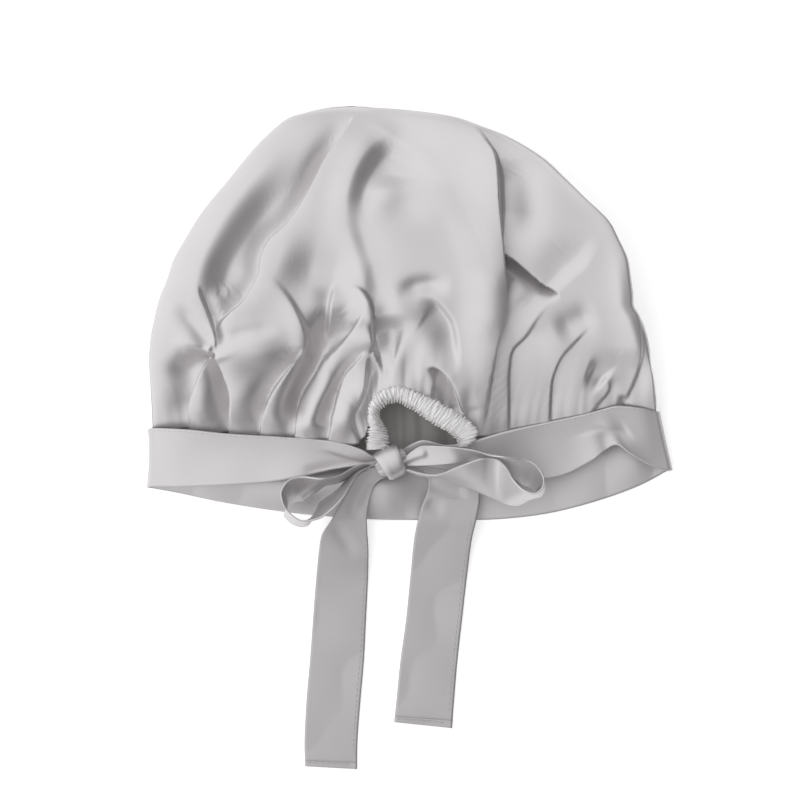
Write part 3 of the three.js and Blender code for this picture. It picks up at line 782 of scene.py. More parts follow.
CENTRE_FOLDS: tuple[Fold, ...] = (
    # The bright ridge that bounds the centre panel on the left, and the soft hollow inside it.
    Fold(
        ((-31.6, 51.2), (-33.8, 67.6), (-32.2, 77.4), (-28.3, 87.7), (-21.8, 97.6), (-12.5, 105.2),
         (1.1, 112.3)),
        1.5, 9, 1.4, 8, 10, 0, 0.35, 0.4,
    ),
    roll(((-7.6, 73), (-6.5, 87.2), (1.1, 100.3)), -3.0, 15, 0.4, 0.4),
    Fold(
        ((-19.6, 7.6), (-22.9, 19.1), (-26.7, 32.7), (-30.5, 45.2), (-33.8, 56.7), (-35.4, 70.9)),
        0.6, 8, 0.6, 9, 8, 0, 0.25, 0.4,
    ),
    roll(((-19.6, 67.6), (-3.3, 67.6), (15.3, 76.3)), -1.2, 10, 0.5, 0.5),
    # The panel's right edge, standing over the hollow beside it.
    Fold(PANEL_EDGE, 2.8, 14, 2.6, 15, 1.6, 1.0, 0.35, 0.3),
    roll(((42.5, 37.1), (43.1, 16.4), (41.4, -8.7)), 1.5, 8, 0.35, 0.35),
    # Folds in the lower part of the panel, above the elastic.
    roll(((-7.6, 18), (1.1, 22.3), (10.4, 24.3), (24, 23.4)), -1.9, 4.5, 0.4, 0.4),
    Fold(
        ((6.5, 20.2), (15.8, 16.4), (22.3, 9.3), (26.2, 2.2), (28.3, -10.4), (29.4, -25.6)),
        0.3, 14, 1.9, 10, 4, 0, 0.3, 0.4,
    ),
    Fold(((-24, 6), (-12.5, 9.3), (-1.6, 8.7), (9.8, 4.4)), 0.6, 8, 3.6, 16, 12, 0, 0.05, 0.5),
    roll(((4.4, 2.2), (2.7, -8.7), (-1.6, -30.5)), -1.4, 6, 0.4, 0),
    Fold(
        ((8.7, -21.3), (13.6, -19.6), (18.5, -20.7), (22.3, -24), (25.6, -28.9), (28.3, -36),
         (31.1, -45.8)),
        0.8, 8, 4.2, 10, 1.6, 2.1, 0.3, 0.1,
    ),
    # Small gathers that run up from the elastic.
    roll(((-11.4, -33.8), (-13.1, -25.1), (-12, -17.4)), -1.0, 2.6, 0, 0.7),
    roll(((8.7, -36), (7.1, -30.5), (7.6, -25.1)), -0.6, 2.6, 0, 0.7),
    roll(((18.5, -40.9), (16.9, -34.9), (17.4, -29.4)), -0.6, 2.8, 0, 0.7),
    roll(((33.2, -50.7), (33.8, -39.2), (32.2, -28.3)), -1.0, 2.8, 0, 0.7),
)

# The dark slot beside the panel, and the soft hollow above it.
SLOT: tuple[Fold, ...] = (
    roll(((54.5, 94.8), (56.1, 79), (56.7, 62.7), (55, 45.8)), -2.6, 12, 0.35, 0.35),
    Fold(
        ((44.7, 45.2), (51.8, 43.1), (58.3, 39.5), (67.9, 31.3), (76.8, 23.2), (82.8, 18)),
        0.6, 8, 9, 5.5, 1.2, 3, 0, 0.3, 0.75,
    ),
)

RIGHT_FOLDS: tuple[Fold, ...] = (
    # The full right side, which turns its face to the light.
    roll(((126.4, 53.4), (133.5, 27.3), (137.9, 0), (138.4, -22.9)), 2.8, 24, 0.4, 0.2),
    # The roll below the slot.
    roll(((54.5, 22.9), (61, 16.9), (64.9, 8.2), (63.2, -4.4)), 1.2, 8, 0.3, 0.3),
    # The long diagonal pleat, soft above and sharp below.
    Fold(
        ((106.8, 51.2), (97, 33.8), (88.8, 26.2), (77.4, 14.7), (69.2, 5.5), (62.1, -5.5)),
        0.3, 18, 1.6, 14, 9, 0, 0.35, 0.35,
    ),
    Fold(
        ((54, -60), (53.7, -36.5), (54.5, -20.7), (56.7, -10.9), (63.2, -3.3), (68.7, 5.5), (76.3, 14.2)),
        0.3, 8, 1.0, 10, 1.4, 0.8, 0, 0.4,
    ),
    # The next pleat, with a hollow at its upper end.
    Fold(
        ((76.3, -54.5), (76.3, -36.5), (77.7, -25.1), (82.3, -14.2), (90.5, -5.5), (101.4, 4.9)),
        0.3, 8, 1.0, 10, 1.3, 0.8, 0, 0.4,
    ),
    roll(((78.5, -2.2), (91, 4.4), (102.5, 9.3)), -1.4, 7, 0.35, 0.35),
    # The curl near the seam.
    Fold(
        ((98.1, -45.2), (102.5, -39.8), (106.3, -35.4), (108.5, -31.1), (107.4, -26.7)),
        0.3, 6, 1.0, 7, 1.3, 0.8, 0, 0.35,
    ),
    roll(((95.9, -22.3), (101.4, -24.5), (106.8, -28.9)), -1.8, 6, 0.4, 0.2),
    # The line between the crown and its right side roll.
    Fold(
        ((114.5, -45.8), (117.2, -38.2), (121, -29.4), (124.3, -20.2), (125.9, -9.3), (124.3, 3.8),
         (121, 14.2)),
        0.3, 10, 0.8, 7, 1.6, 0.4, 0, 0.15,
    ),
    roll(((117.7, -36), (115.5, -42.5)), -2.4, 2.4, 0.2, 0),
)


@dataclass(frozen=True)
class Crown:
    """The gathered silk crown: a soft bag, puffed up, lying on the front of the band.

    In its methods climb runs from 0 at the seam to 1 at the top, and u from -1 at the left edge to
    1 at the right edge. Plain numbers beside them are shares of these two ways.
    """

    loft: float = 38.0
    lean: float = 7.0
    side_height: float = 13.0
    right_height: float = 38.0
    fold_height: float = 2.6
    seam_height: float = 18.0
    seam_end_height: float = 5.8
    right_end_height: float = 13.0
    seam_y: float = -60.0
    nape_x: float = 5.0
    nape_half_width: float = 34.0
    nape_fade: tuple[float, float] = (33.0, 45.0)
    nape_lift: float = 14.0
    nape_rise: float = 30.0
    front_lap: float = 1.0
    floor_gap: float = 0.6
    under_wave: float = 1.1
    thickness: float = 0.4
    weld_gap: float = 0.02
    relief: float = 1.5
    ripple_height: float = 0.3
    ripple_length: float = 40.0
    pucker_height: float = 0.25
    nape_pucker_height: float = 0.35
    pucker_pitch: float = 6.5
    pucker_reach: float = 8.0
    seam_calm: float = 16.0
    tuck: float = 0.1
    tuck_reach: float = 3.0
    slot_blend: float = 3.0
    right_blend: float = 9.0
    columns: int = 340
    rows: int = 230
    under_columns: int = 200

    def _rows(self) -> tuple[np.ndarray, np.ndarray, np.ndarray]:
        """Gives the left and right end of each row, and its climb."""
        left, right = spline(LEFT_OUTLINE, self.rows), spline(RIGHT_OUTLINE, self.rows)
        middle = (left[:, 1] + right[:, 1]) / 2
        return left, right, (middle - middle[0]) / (middle[-1] - middle[0])

    def _side(self, climb: np.ndarray, u: np.ndarray) -> np.ndarray:
        """Gives the height of the crown's edge, which is higher and climbs more evenly on the right.

        Args:
            climb: The climb of each row.
            u: The place across of each point.

        Returns:
            The height at each point.
        """
        rightness = smooth(u, 0, 0.6)
        lift = rightness * (1 - smooth(climb, 0.6, 1)[:, None])
        high = lerp(self.side_height, self.right_height, lift)
        low = lerp(self.fold_height, self.right_end_height, rightness)
        quick = smooth(climb, 0, 0.35)[:, None]
        even = np.minimum(1, climb[:, None] / 0.7)
        return lerp(low, high, lerp(quick, even, rightness))

    def _seam(self, rim: np.ndarray, at_rim: np.ndarray) -> np.ndarray:
        """Gives the height of the seam, which rises to its middle and more round the nape arch.

        Args:
            rim: The seam's points seen from above.
            at_rim: The share of the way from left to right at each of them.

        Returns:
            The height at each point.
        """
        arch = np.maximum(0, 1 - (2 * at_rim - 1) ** 2) ** 0.4
        rise = np.clip((rim[:, 1] - self.seam_y) / self.nape_rise, 0, 1)
        rise = rise * (1 - smooth(np.abs(rim[:, 0] - self.nape_x), *self.nape_fade))
        end = lerp(self.seam_end_height, self.right_end_height, smooth(rim[:, 0], 20, 100))
        return lerp(end, self.seam_height, arch) + self.nape_lift * rise

    def _dome(self, climb: np.ndarray, u: np.ndarray, side: np.ndarray) -> np.ndarray:
        """Gives the height of the puffed crown, full from its sides and falling off at its top.

        Args:
            climb: The climb of each row.
            u: The place across of each point.
            side: The height of the crown's edge.

        Returns:
            The height at each point.
        """
        above = np.maximum(0, climb - 0.45) / 0.55
        peak = self.loft + self.lean * smooth(u, 0.25, 0.9)
        ridge = side + (peak - side) * np.sqrt(1 - above**2)[:, None]
        tight = smooth(u, -0.3, 0.4)
        full = np.maximum(0, 1 - np.abs(u) ** lerp(4, 50, tight)) ** lerp(0.2, 0.14, tight)
        return side + (ridge - side) * full

    def _top(self) -> tuple[np.ndarray, np.ndarray, np.ndarray]:
        """Builds the side that looks up, without its folds.

        Returns:
            Its points as rows by columns, the climb of each row and the place across of each point.
        """
        left, right, climb = self._rows()
        rim = spline(CROWN_RIM, self.columns)
        w = np.linspace(-1, 1, self.columns)
        even = 0.5 + 0.5 * (0.65 * w + 0.35 * np.sin(w * math.pi / 2))
        at_rim = (rim[:, 0] - rim[0, 0]) / (rim[-1, 0] - rim[0, 0])
        share = lerp(at_rim[None], even[None], smooth(climb, 0, 0.3)[:, None])
        x = lerp(left[:, :1], right[:, :1], share)
        y = lerp(left[:, 1:], right[:, 1:], share)
        lift = rim[:, 1] - lerp(left[0, 1], right[0, 1], at_rim)
        y += lift[None] * (1 - climb[:, None]) ** 1.2
        u = 2 * share - 1
        bulge = np.sqrt(np.maximum(0, 1 - u * u))
        side = self._side(climb, u)
        low = lerp(self._seam(rim, at_rim)[None], side, 1 - bulge)
        puff = 1 - (1 - np.minimum(1, climb[:, None] / 0.5)) ** 1.7
        puff = lerp(puff, np.minimum(1, climb[:, None] / 0.85), smooth(u, 0.3, 0.6))
        z = lerp(low, self._dome(climb, u, side), puff)
        return np.stack([x, y, z], axis=-1), climb, u

    def _underside(self) -> np.ndarray:
        """Builds the side that lies on the table, from the right edge to the left.

        Returns:
            Its points as rows by columns.
        """
        left, right, climb = self._rows()
        share = (1 + np.cos(np.linspace(0, math.pi, self.under_columns + 2)[1:-1])) / 2
        u = 2 * share - 1
        x = lerp(left[:, :1], right[:, :1], share[None])
        y = lerp(left[:, 1:], right[:, 1:], share[None])
        rim = spline(HeadBand.FRONT_RIM, self.under_columns)
        front = np.interp(x[0], rim[:, 0], rim[:, 1]) + HeadBand.height - self.front_lap
        y += (front - lerp(left[0, 1], right[0, 1], share))[None] * (1 - climb[:, None])
        bulge = np.sqrt(1 - u * u)
        side = self._side(climb, u[None])
        drop = np.maximum(0, 1 - bulge / 0.75)[None] ** lerp(9, 2, smooth(climb, 0, 0.3))[:, None]
        z = side * lerp(drop, 1.0, smooth(climb, 0.8, 1)[:, None]) + self.floor_gap
        wave = 1 + np.sin(x * 0.62 + 1.5 * np.sin(x * 0.21) + 0.02 * y)
        z += self.under_wave * wave * bulge[None] * np.exp(-climb / 0.35)[:, None]
        return np.stack([x, y, z], axis=-1)

    def _pucker(self, top: np.ndarray, out: np.ndarray, nape: np.ndarray) -> np.ndarray:
        """Gives the small uneven gathers beside the seam.

        Args:
            top: The points of the side that looks up.
            out: How far each point lies from the seam.
            nape: Whether each column starts at the nape arch.

        Returns:
            The height at each point.
        """
        along = np.concatenate([[0], np.cumsum(np.linalg.norm(np.diff(top[0], axis=0), axis=1))])
        random = np.random.default_rng(SEED)
        phase = np.cumsum(np.gradient(along) * random.uniform(0.4, 1.6, self.columns))
        wave = np.sin(2 * math.pi * phase / self.pucker_pitch)[None]
        pucker = wave * np.exp(-out / self.pucker_reach)
        return np.where(nape, self.nape_pucker_height, self.pucker_height) * pucker

    def _folded(self, top: np.ndarray, climb: np.ndarray, u: np.ndarray) -> np.ndarray:
        """Lays the folds and gathers into the side that looks up.

        Args:
            top: Its points as rows by columns.
            climb: The climb of each row.
            u: The place across of each point.

        Returns:
            The folded points.
        """
        xy = top[..., :2].reshape(-1, 2)
        height, shift = fold_field(xy, LEFT_FOLDS + CENTRE_FOLDS)
        edge_line = spline(PANEL_EDGE, PATH_POINTS)
        beyond = xy[:, 0] - np.interp(xy[:, 1], edge_line[:, 1], edge_line[:, 0])
        for folds, blend in ((SLOT, self.slot_blend), (RIGHT_FOLDS, self.right_blend)):
            beside = smooth(beyond, 0, blend)
            more_height, more_shift = fold_field(xy, folds)
            height += more_height * beside
            shift += more_shift * beside[:, None]
        height += ripple(xy, self.ripple_height, self.ripple_length, SEED)
        height = self.relief * height.reshape(u.shape)
        shift = shift.reshape(*u.shape, 2)
        out = np.linalg.norm(top - top[:1], axis=-1)
        nape = (np.abs(top[0, :, 0] - self.nape_x) < self.nape_half_width)[None]
        height += self._pucker(top, out, nape)
        calm = lerp(0.25, 1, smooth(1 - np.abs(u), 0.0, 0.06))
        calm = calm * lerp(0.4, 1, smooth(out, 0, self.seam_calm))
        calm *= (1 - smooth(climb, 0.93, 1.0))[:, None]
        made = top + grid_normals(top) * (height * calm)[..., None]
        made[..., :2] += shift * calm[..., None]
        under = self.tuck * np.exp(-((out / self.tuck_reach) ** 2)) * np.where(nape, 0.0, 1.0)
        made[..., 1] -= 2 * under
        made[..., 2] -= under
        return made

    def build(self) -> bpy.types.Object:
        """Builds the crown and fixes it to the cap.

        Returns:
            The crown.
        """
        top, climb, u = self._top()
        folded = self._folded(top, climb, u)
        ring = np.concatenate([folded, self._underside()], axis=1)
        faces = grid_faces(self.rows, ring.shape[1], True)
        piece = make_object("silk_crown", ring, faces)
        piece.data.materials.append(SILK.material())
        # The inner side gets the satin's back, whose darker, warmer colour is painted shade.
        piece.data.materials.append(SHADED_BACK.material())
        weld(piece, self.weld_gap)
        thicken(piece, self.thickness, -1, True)
        settle(piece, Body.CAP, SILK, "crown")
        return piece


@dataclass(frozen=True)
class HeadBand:
    """The band: one folded strip whose two ends are drawn in to the knot at the back."""

    height: float = 31.0
    thickness: float = 1.1
    front_bow: float = 7.0
    flat_bow: float = 0.6
    fold_radius: float = 2.6
    stitch_pitch: float = 3.0
    stitch_length: float = 2.3
    thread_radius: float = 0.2
    across: int = 26
    stations: int = 150

    LEFT_SEAM: ClassVar[Points3] = (
        (-14.7, -70.1, 16), (-19.5, -68.5, 17), (-27.1, -64.2, 18), (-42.3, -60.4, 18),
        (-69.4, -58.2, 17.5), (-96.5, -56.6, 16), (-118.3, -54.4, 13), (-132.1, -53.6, 9),
        (-138.7, -53.4, 5.8),
    )
    LEFT_RIM: ClassVar[Points3] = (
        (-14.7, -72.3, 14), (-19.5, -72.9, 14.6), (-28.8, -73.9, 15.2), (-42.3, -76.1, 15.2),
        (-57, -79.4, 14.5), (-74.9, -82.6, 13), (-96.7, -84.3, 11.5), (-121.2, -85.4, 8.5),
        (-139.3, -85.5, 5),
    )
    FRONT_RIM: ClassVar[Points3] = (
        (-140, -86.1, 0.6), (-124.2, -88.8, 0.6), (-97, -94.3, 0.6), (-64.3, -99.2, 0.6),
        (-31.6, -102.2, 0.6), (-4.4, -103.3, 0.6), (22.9, -103.5, 0.6), (50.1, -103, 0.6),
        (77.4, -99.7, 0.6), (104.6, -92.6, 0.6), (126.4, -84.5, 0.6), (141.1, -76.8, 0.6),
    )
    RIGHT_SEAM: ClassVar[Points3] = (
        (134, -44.1, 13), (125.8, -42.5, 15.5), (113.3, -41.4, 16.6), (104, -43.6, 16.9),
        (96.4, -45.7, 17), (75.8, -50.1, 17.2), (53.6, -54.9, 17.8), (36.3, -59.8, 18),
        (21.1, -62.5, 17), (8.6, -59.8, 18), (0, -63.1, 16), (-5.4, -66.9, 13),
    )
    RIGHT_RIM: ClassVar[Points3] = (
        (140.8, -76.2, 7.5), (132, -74, 10), (121.5, -68, 13.5), (113.3, -62.5, 16.5),
        (106.8, -65.8, 15.3), (99.8, -71.2, 14.6), (83.5, -79.4, 14), (60.7, -81.6, 13.5),
        (39.1, -78.3, 12.6), (17.4, -75.1, 12), (2.2, -72.9, 11.7), (-5.4, -71.3, 11.5),
    )

    LEFT_CREASES: ClassVar[tuple[Fold, ...]] = (
        roll(((-58.9, -78.5), (-42.5, -74.7), (-30.5, -72.5), (-17.4, -71.4)), -1.2, 3, 0.2, 0),
        Fold(
            ((-49.1, -63.2), (-38.2, -66.5), (-28.3, -69.2), (-17.4, -70.9)),
            0.8, 5, 0.9, 4, 2, 0, 0.4, 0,
        ),
    )
    RIGHT_CREASES: ClassVar[tuple[Fold, ...]] = (
        roll(((108.5, -65.4), (107.9, -58.9), (109.5, -52.3)), -1.3, 5, 0, 0.2),
        roll(((111.7, -63.8), (114.5, -57.8), (119.9, -53.4)), -0.8, 5, 0, 0.2),
        roll(((104.6, -68.7), (101.4, -62.1), (99.2, -54.5)), 1.0, 7, 0, 0.2),
    )

    def _back(self, seam: Points3, rim: Points3, folds: Sequence[Fold]) -> np.ndarray:
        """Builds one half of the back of the band.

        Args:
            seam: Its edge at the crown.
            rim: Its free edge.
            folds: The folds in it.

        Returns:
            Its points, as stations by points across.
        """
        first, second = spline_pair(seam, rim, self.stations)
        width = np.linalg.norm(second - first, axis=1)
        grid = ribbon_grid(first, second, self.across, np.minimum(1.5, width * 0.06))
        height, shift = fold_field(grid[..., :2].reshape(-1, 2), folds)
        height += ripple(grid[..., :2].reshape(-1, 2), 0.2, 40, SEED + 5)
        grid[..., 2] += height.reshape(grid.shape[:2])
        grid[..., :2] += shift.reshape(*grid.shape[:2], 2)
        return grid

    def _front(self, left_x: float, right_x: float) -> np.ndarray:
        """Builds the front of the band, which lies on the table.

        Args:
            left_x: Where its upper edge starts.
            right_x: Where its upper edge ends.

        Returns:
            Its points, as stations by points across.
        """
        rim = spline(self.FRONT_RIM, 2 * self.stations)
        top = rim + (0.0, self.height, 0.0)
        top[:, 0] = lerp(left_x, right_x, np.linspace(0, 1, len(rim)))
        grid = ribbon_grid(top, rim, self.across, np.zeros(len(rim)))
        x = rim[:, 0]
        # It bows up as far as the left tie, lies nearly flat from there on and bows by the right fold.
        bow = self.front_bow * lerp(0.9, 1, smooth(x, -70, -20))
        bow = lerp(bow, self.flat_bow, smooth(x, -12, 14)) * smooth(x, -138, -110)
        bow += 0.25 * self.front_bow * smooth(x, 75, 125) * (1 - smooth(x, 126, 139))
        grid[..., 2] += bow[:, None] * np.sin(np.linspace(0, math.pi, self.across))[None]
        grid[..., 2] += np.abs(ripple(grid[..., :2], 0.5, 45, SEED + 6))
        return grid

    def build(self) -> list[bpy.types.Object]:
        """Builds the band's three stretches and its stitching.

        Returns:
            The band's pieces.
        """
        left = self._back(self.LEFT_SEAM, self.LEFT_RIM, self.LEFT_CREASES)
        right = self._back(self.RIGHT_SEAM, self.RIGHT_RIM, self.RIGHT_CREASES)
        front = self._front(left[-1, 0, 0], right[0, 0, 0])
        turn_left = self._turn(left[-1], front[0])
        turn_right = self._turn(front[-1], right[0])
        grid = np.concatenate([left, turn_left, front, turn_right, right])
        piece = make_object("silk_headband", grid, grid_faces(*grid.shape[:2]))
        thicken(piece, self.thickness)
        settle(piece, Body.CAP, LINING, "headband")
        return [piece, *self._stitching(left, front, right)]

    def _turn(self, start: np.ndarray, end: np.ndarray) -> np.ndarray:
        """Rounds the band over at a side fold.

        Args:
            start: The last station before the fold.
            end: The first station after it.

        Returns:
            The stations between them.
        """
        angle = np.linspace(0, math.pi, 9)[1:-1]
        middle = lerp(start[None], end[None], ((1 - np.cos(angle)) / 2)[:, None, None])
        side = np.sign(start[:, 0].mean())
        radius = np.abs(start[:, 2] - end[:, 2]) / 2
        middle[..., 0] += side * np.minimum(radius[None], self.fold_radius) * np.sin(angle)[:, None]
        return middle

    def _stitching(
        self, left: np.ndarray, front: np.ndarray, right: np.ndarray
    ) -> list[bpy.types.Object]:
        """Sews the three rows of stitches along the seam.

        Args:
            left: The left half of the back.
            front: The front.
            right: The right half of the back.

        Returns:
            The rows of stitches.
        """
        rows = []
        plan = (
            ("seam_stitches_left", left[40:-2, 1], "seam_thread_back_left"),
            ("seam_stitches_front", front[2:-2, 1], "seam_thread_front"),
            ("seam_stitches_right", right[2:-60, 1], "seam_thread_back_right"),
        )
        for name, line, node in plan:
            path = line + (0.0, 0.0, self.thickness / 2 + 0.1)
            row = stitches(
                name, path[::3], self.stitch_pitch, self.stitch_length, self.thread_radius
            )
            rows.append(settle(row, Body.CAP, THREAD, node))
        return rows


@dataclass(frozen=True)
class Nape:
    """The nape opening: elastic in a gathered casing with an overlocked edge."""

    casing_depth: float = 3.0
    gather_pitch: float = 2.2
    stitch_pitch: float = 1.7
    thread_radius: float = 0.27
    elastic_radius: float = 1.4
    stations: int = 520
    sides: int = 26

    OUTER: ClassVar[Points3] = (
        (-22.2, -65.2, 18), (-22.2, -60.9, 20), (-21.1, -54.4, 24), (-21.6, -46.8, 28),
        (-20.5, -39.8, 30), (-15.1, -33.8, 31), (-6, -30.6, 31), (3.7, -33.3, 31), (12.9, -37.6, 30),
        (21.5, -41.9, 29), (29.7, -46.8, 27), (36.2, -52.2, 24), (37.3, -58.7, 21), (32.5, -63.6, 18),
    )
    INNER: ClassVar[Points3] = (
        (-12.5, -64.7, 17), (-11.4, -59.8, 19), (-12.5, -54.4, 22), (-15.7, -49, 26),
        (-16.2, -44.1, 28), (-11.9, -39.8, 29), (-5.4, -38.2, 29), (1, -41.4, 29), (7.5, -45.7, 28),
        (15.1, -51.1, 26), (22.1, -54.9, 23), (26.5, -58.2, 20), (27.6, -60.9, 18), (26.5, -63.6, 16.5),
    )

    def _casing(self, centre: np.ndarray, half: np.ndarray) -> bpy.types.Object:
        """Builds the casing, a flat sleeve with uneven gathers.

        Args:
            centre: Its centreline.
            half: The way from the centreline to its outer edge, at each station.

        Returns:
            The casing.
        """
        angle = np.linspace(0, 2 * math.pi, self.sides, endpoint=False)[None]
        length = np.linalg.norm(np.diff(centre, axis=0), axis=1).sum()
        along = length * np.linspace(0, 1, self.stations)
        random = np.random.default_rng(SEED + 3)
        pace = uneven(along, random.uniform(0.55, 1.6, 40))
        phase = (2 * math.pi * np.cumsum(np.gradient(along) * pace) / self.gather_pitch)[:, None]
        tall = uneven(along, random.uniform(0.1, 1.7, 70))[:, None]
        twist = uneven(along, random.normal(0, 1.6, 50))[:, None]
        skew = uneven(along, random.normal(0, 1.4, 60))[:, None]
        swell = 1 + 0.11 * tall * np.sin(phase + 1.6 * np.sin(angle + twist) + skew * np.cos(angle))
        swell += 0.09 * np.sin(0.7 * phase + 2 * angle + 2 * skew) * np.cos(angle + twist)
        swell += 0.06 * np.sin(2.3 * phase + 3 * angle + twist) + 0.06 * np.sin(4 * angle + 2 * twist)
        ring = centre[:, None] + half[:, None] * (np.cos(angle) * swell)[..., None]
        ring[..., 2] += self.casing_depth * np.sin(angle) * swell
        return make_object("nape_gathered_casing", ring, capped_faces(self.stations, self.sides))

    def build(self) -> list[bpy.types.Object]:
        """Builds the casing, the elastic and the overlock stitches.

        Returns:
            The pieces.
        """
        outer, inner = spline_pair(self.OUTER, self.INNER, self.stations)
        centre = (outer + inner) / 2
        casing = self._casing(centre, (outer - inner) / 2)
        # The casing's near-white colour is painted light against the shade of its gathers.
        settle(casing, Body.CAP, GATHERED_LIT, "nape_casing")
        elastic = tube("nape_elastic_cord", spline(centre[8:-8:12], 120), self.elastic_radius)
        settle(elastic, Body.CAP, ELASTIC, "nape_elastic")
        overlock = self._overlock(inner, centre)
        settle(overlock, Body.CAP, OVERLOCK, "nape_overlock_thread")
        return [casing, elastic, overlock]

    def _overlock(self, inner: np.ndarray, centre: np.ndarray) -> bpy.types.Object:
        """Sews the looped stitches over the raw edge of the casing.

        Args:
            inner: The edge that is sewn over.
            centre: The casing's centreline.

        Returns:
            The thread as one object.
        """
        total = np.linalg.norm(np.diff(inner, axis=0), axis=1).sum()
        count = int(total / self.stitch_pitch)
        share = np.linspace(0, 1, count * 8)
        edge = np.column_stack([uneven(share, axis) for axis in inner.T])
        back = np.column_stack([uneven(share, axis) for axis in centre.T])
        inwards = back - edge
        inwards /= np.linalg.norm(inwards, axis=1, keepdims=True)
        turn = 2 * math.pi * share * count
        random = np.random.default_rng(SEED + 4)
        reach = uneven(share, random.uniform(0.9, 2.3, count))
        path = edge + inwards * (0.3 + reach * np.sin(turn))[:, None]
        path[:, 2] += 1.0 + 1.1 * np.cos(turn)
        return tube("nape_overlock_stitches", path, self.thread_radius, 6)


@dataclass(frozen=True)
class Knot:
    """The bow's knot: a gathered core with one turn of tie wrapped round it."""

    centre: tuple[float, float, float] = (-9.0, -71.9, 15.0)
    axis_turn: float = 27.0
    half_span: float = 8.2
    half_depth: float = 7.0
    top_half_width: float = 6.9
    foot_half_width: float = 4.8
    thickness: float = 0.9
    core_length: float = 18.0
    core_inset: float = 1.6
    wrap_around: int = 96
    wrap_across: int = 30
    core_rings: int = 41
    core_sides: int = 72

    def _frame(self) -> tuple[np.ndarray, np.ndarray, np.ndarray]:
        """Gives the knot's middle, the way through it and the way across it."""
        turn = math.radians(self.axis_turn)
        through = np.array([math.cos(turn), math.sin(turn), 0.0])
        return np.array(self.centre), through, np.array([through[1], -through[0], 0.0])

    def _wrap(self) -> bpy.types.Object:
        """Builds the turn of tie, wide above and narrow below, with small creases.

        Returns:
            The wrap.
        """
        middle, through, across = self._frame()
        angle = np.linspace(0, 2 * math.pi, self.wrap_around, endpoint=False)[:, None]
        place = np.linspace(-1, 1, self.wrap_across)[None, :]
        half = lerp(self.top_half_width, self.foot_half_width, (1 - np.cos(angle)) / 2)
        crease = 0.25 * np.sin(5 * place + 1.3 * np.cos(angle))
        crease = crease + 0.18 * np.sin(11 * place + np.sin(angle))
        swell = 1 - 0.11 * np.abs(place) ** 5 + 0.018 * crease
        along = through * (half * place)[..., None]
        aside = across * (-self.half_span * np.cos(angle) * swell)[..., None]
        grid = middle + along + aside
        grid[..., 2] += self.half_depth * np.sin(angle) * swell
        wrap = make_object("knot_wrap_turn", grid, self._ring_faces(*grid.shape[:2]))
        thicken(wrap, self.thickness, -1)
        return wrap

    def _core(self) -> bpy.types.Object:
        """Builds the gathered ties inside the wrap.

        Returns:
            The core.
        """
        middle, through, across = self._frame()
        run = np.linspace(-1, 1, self.core_rings)[:, None]
        turn = np.linspace(0, 2 * math.pi, self.core_sides, endpoint=False)[None, :]
        pleat = 1 + 0.1 * np.sin(9 * turn + 0.8 * run) + 0.05 * np.sin(17 * turn)
        taper = 0.8 * (1 - 0.35 * np.abs(run) ** 3)
        along = through * (self.core_length / 2 * run)[..., None]
        aside = across * ((self.half_span - self.core_inset) * np.cos(turn) * pleat * taper)[..., None]
        grid = middle + along + aside
        grid[..., 2] += (self.half_depth - self.core_inset) * np.sin(turn) * pleat * taper
        return make_object("knot_gathered_core", grid, capped_faces(*grid.shape[:2]))

    def build(self) -> list[bpy.types.Object]:
        """Builds the wrap and the core.

        Returns:
            The two pieces.
        """
        wrap = self._wrap()
        settle(wrap, Body.CAP, SILK, "knot_wrap")
        core = self._core()
        settle(core, Body.CAP, LINING, "knot_core")
        return [wrap, core]

    def _ring_faces(self, rows: int, columns: int) -> list[tuple[int, int, int, int]]:
        """Gives the quads of a sleeve whose rows close on the first row."""
        faces = grid_faces(rows, columns)
        last = (rows - 1) * columns
        return faces + [(last + i, last + i + 1, i + 1, i) for i in range(columns - 1)]


@dataclass(frozen=True)
class Bend:
    """Where ribbon bends from one body to the next: it starts at a pivot and runs out by a length. Here
    only the moving body is read, for the log.
    """

    fixed: Body
    moving: Body
    pivot: tuple[float, float, float]
    heading: float
    length: float

    def settle(self, piece: bpy.types.Object, finish: Finish, *nodes: str) -> None:
        """Dresses a finished piece, bakes its place into its mesh and hides the nodes it stands for.

        Args:
            piece: The piece.
            finish: Its material.
            *nodes: The nodes of the model that it stands for.
        """
        finish.dress(piece)
        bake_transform(piece)
        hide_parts(*nodes)
        faces = len(piece.data.polygons)
        LOG.info("%s: %d faces, bends to %s", piece.name, faces, self.moving.value)


@dataclass(frozen=True)
class BowLoop:
    """One loop of the bow: the tie stands on edge, goes out and comes back to the knot.

    The high edge is given as it looks from above. Its height follows from the low edge and from
    the tie's width at each station.
    """

    name: str
    node: str
    bend: Bend
    high: Points2
    low: Points3
    widths: tuple[float, ...]
    creases: tuple[Fold, ...]
    thickness: float = 0.8
    bulge: float = 1.2
    stations: int = 170
    across: int = 22

    def build(self) -> bpy.types.Object:
        """Builds the loop, dresses it and hides the node it stands for.

        Returns:
            The loop.
        """
        seen, low = np.asarray(self.high, float), np.asarray(self.low, float)
        reach = np.linalg.norm(seen - low[:, :2], axis=1)
        wide = np.asarray(self.widths, float)
        rise = np.sqrt(np.maximum(wide**2 - reach**2, 0.2))
        high = np.column_stack([seen, low[:, 2] + rise])
        first, second = spline_pair(low, high, self.stations)
        run = np.linspace(0, 1, self.stations)
        grid = ribbon_grid(first, second, self.across, self.bulge * np.sin(math.pi * run) ** 0.5)
        height, _ = fold_field(grid[..., :2].reshape(-1, 2), self.creases)
        grid += grid_normals(grid) * height.reshape(grid.shape[:2])[..., None]
        piece = make_object(self.name, grid, grid_faces(*grid.shape[:2]))
        thicken(piece, self.thickness)
        self.bend.settle(piece, SILK, self.node)
        return piece


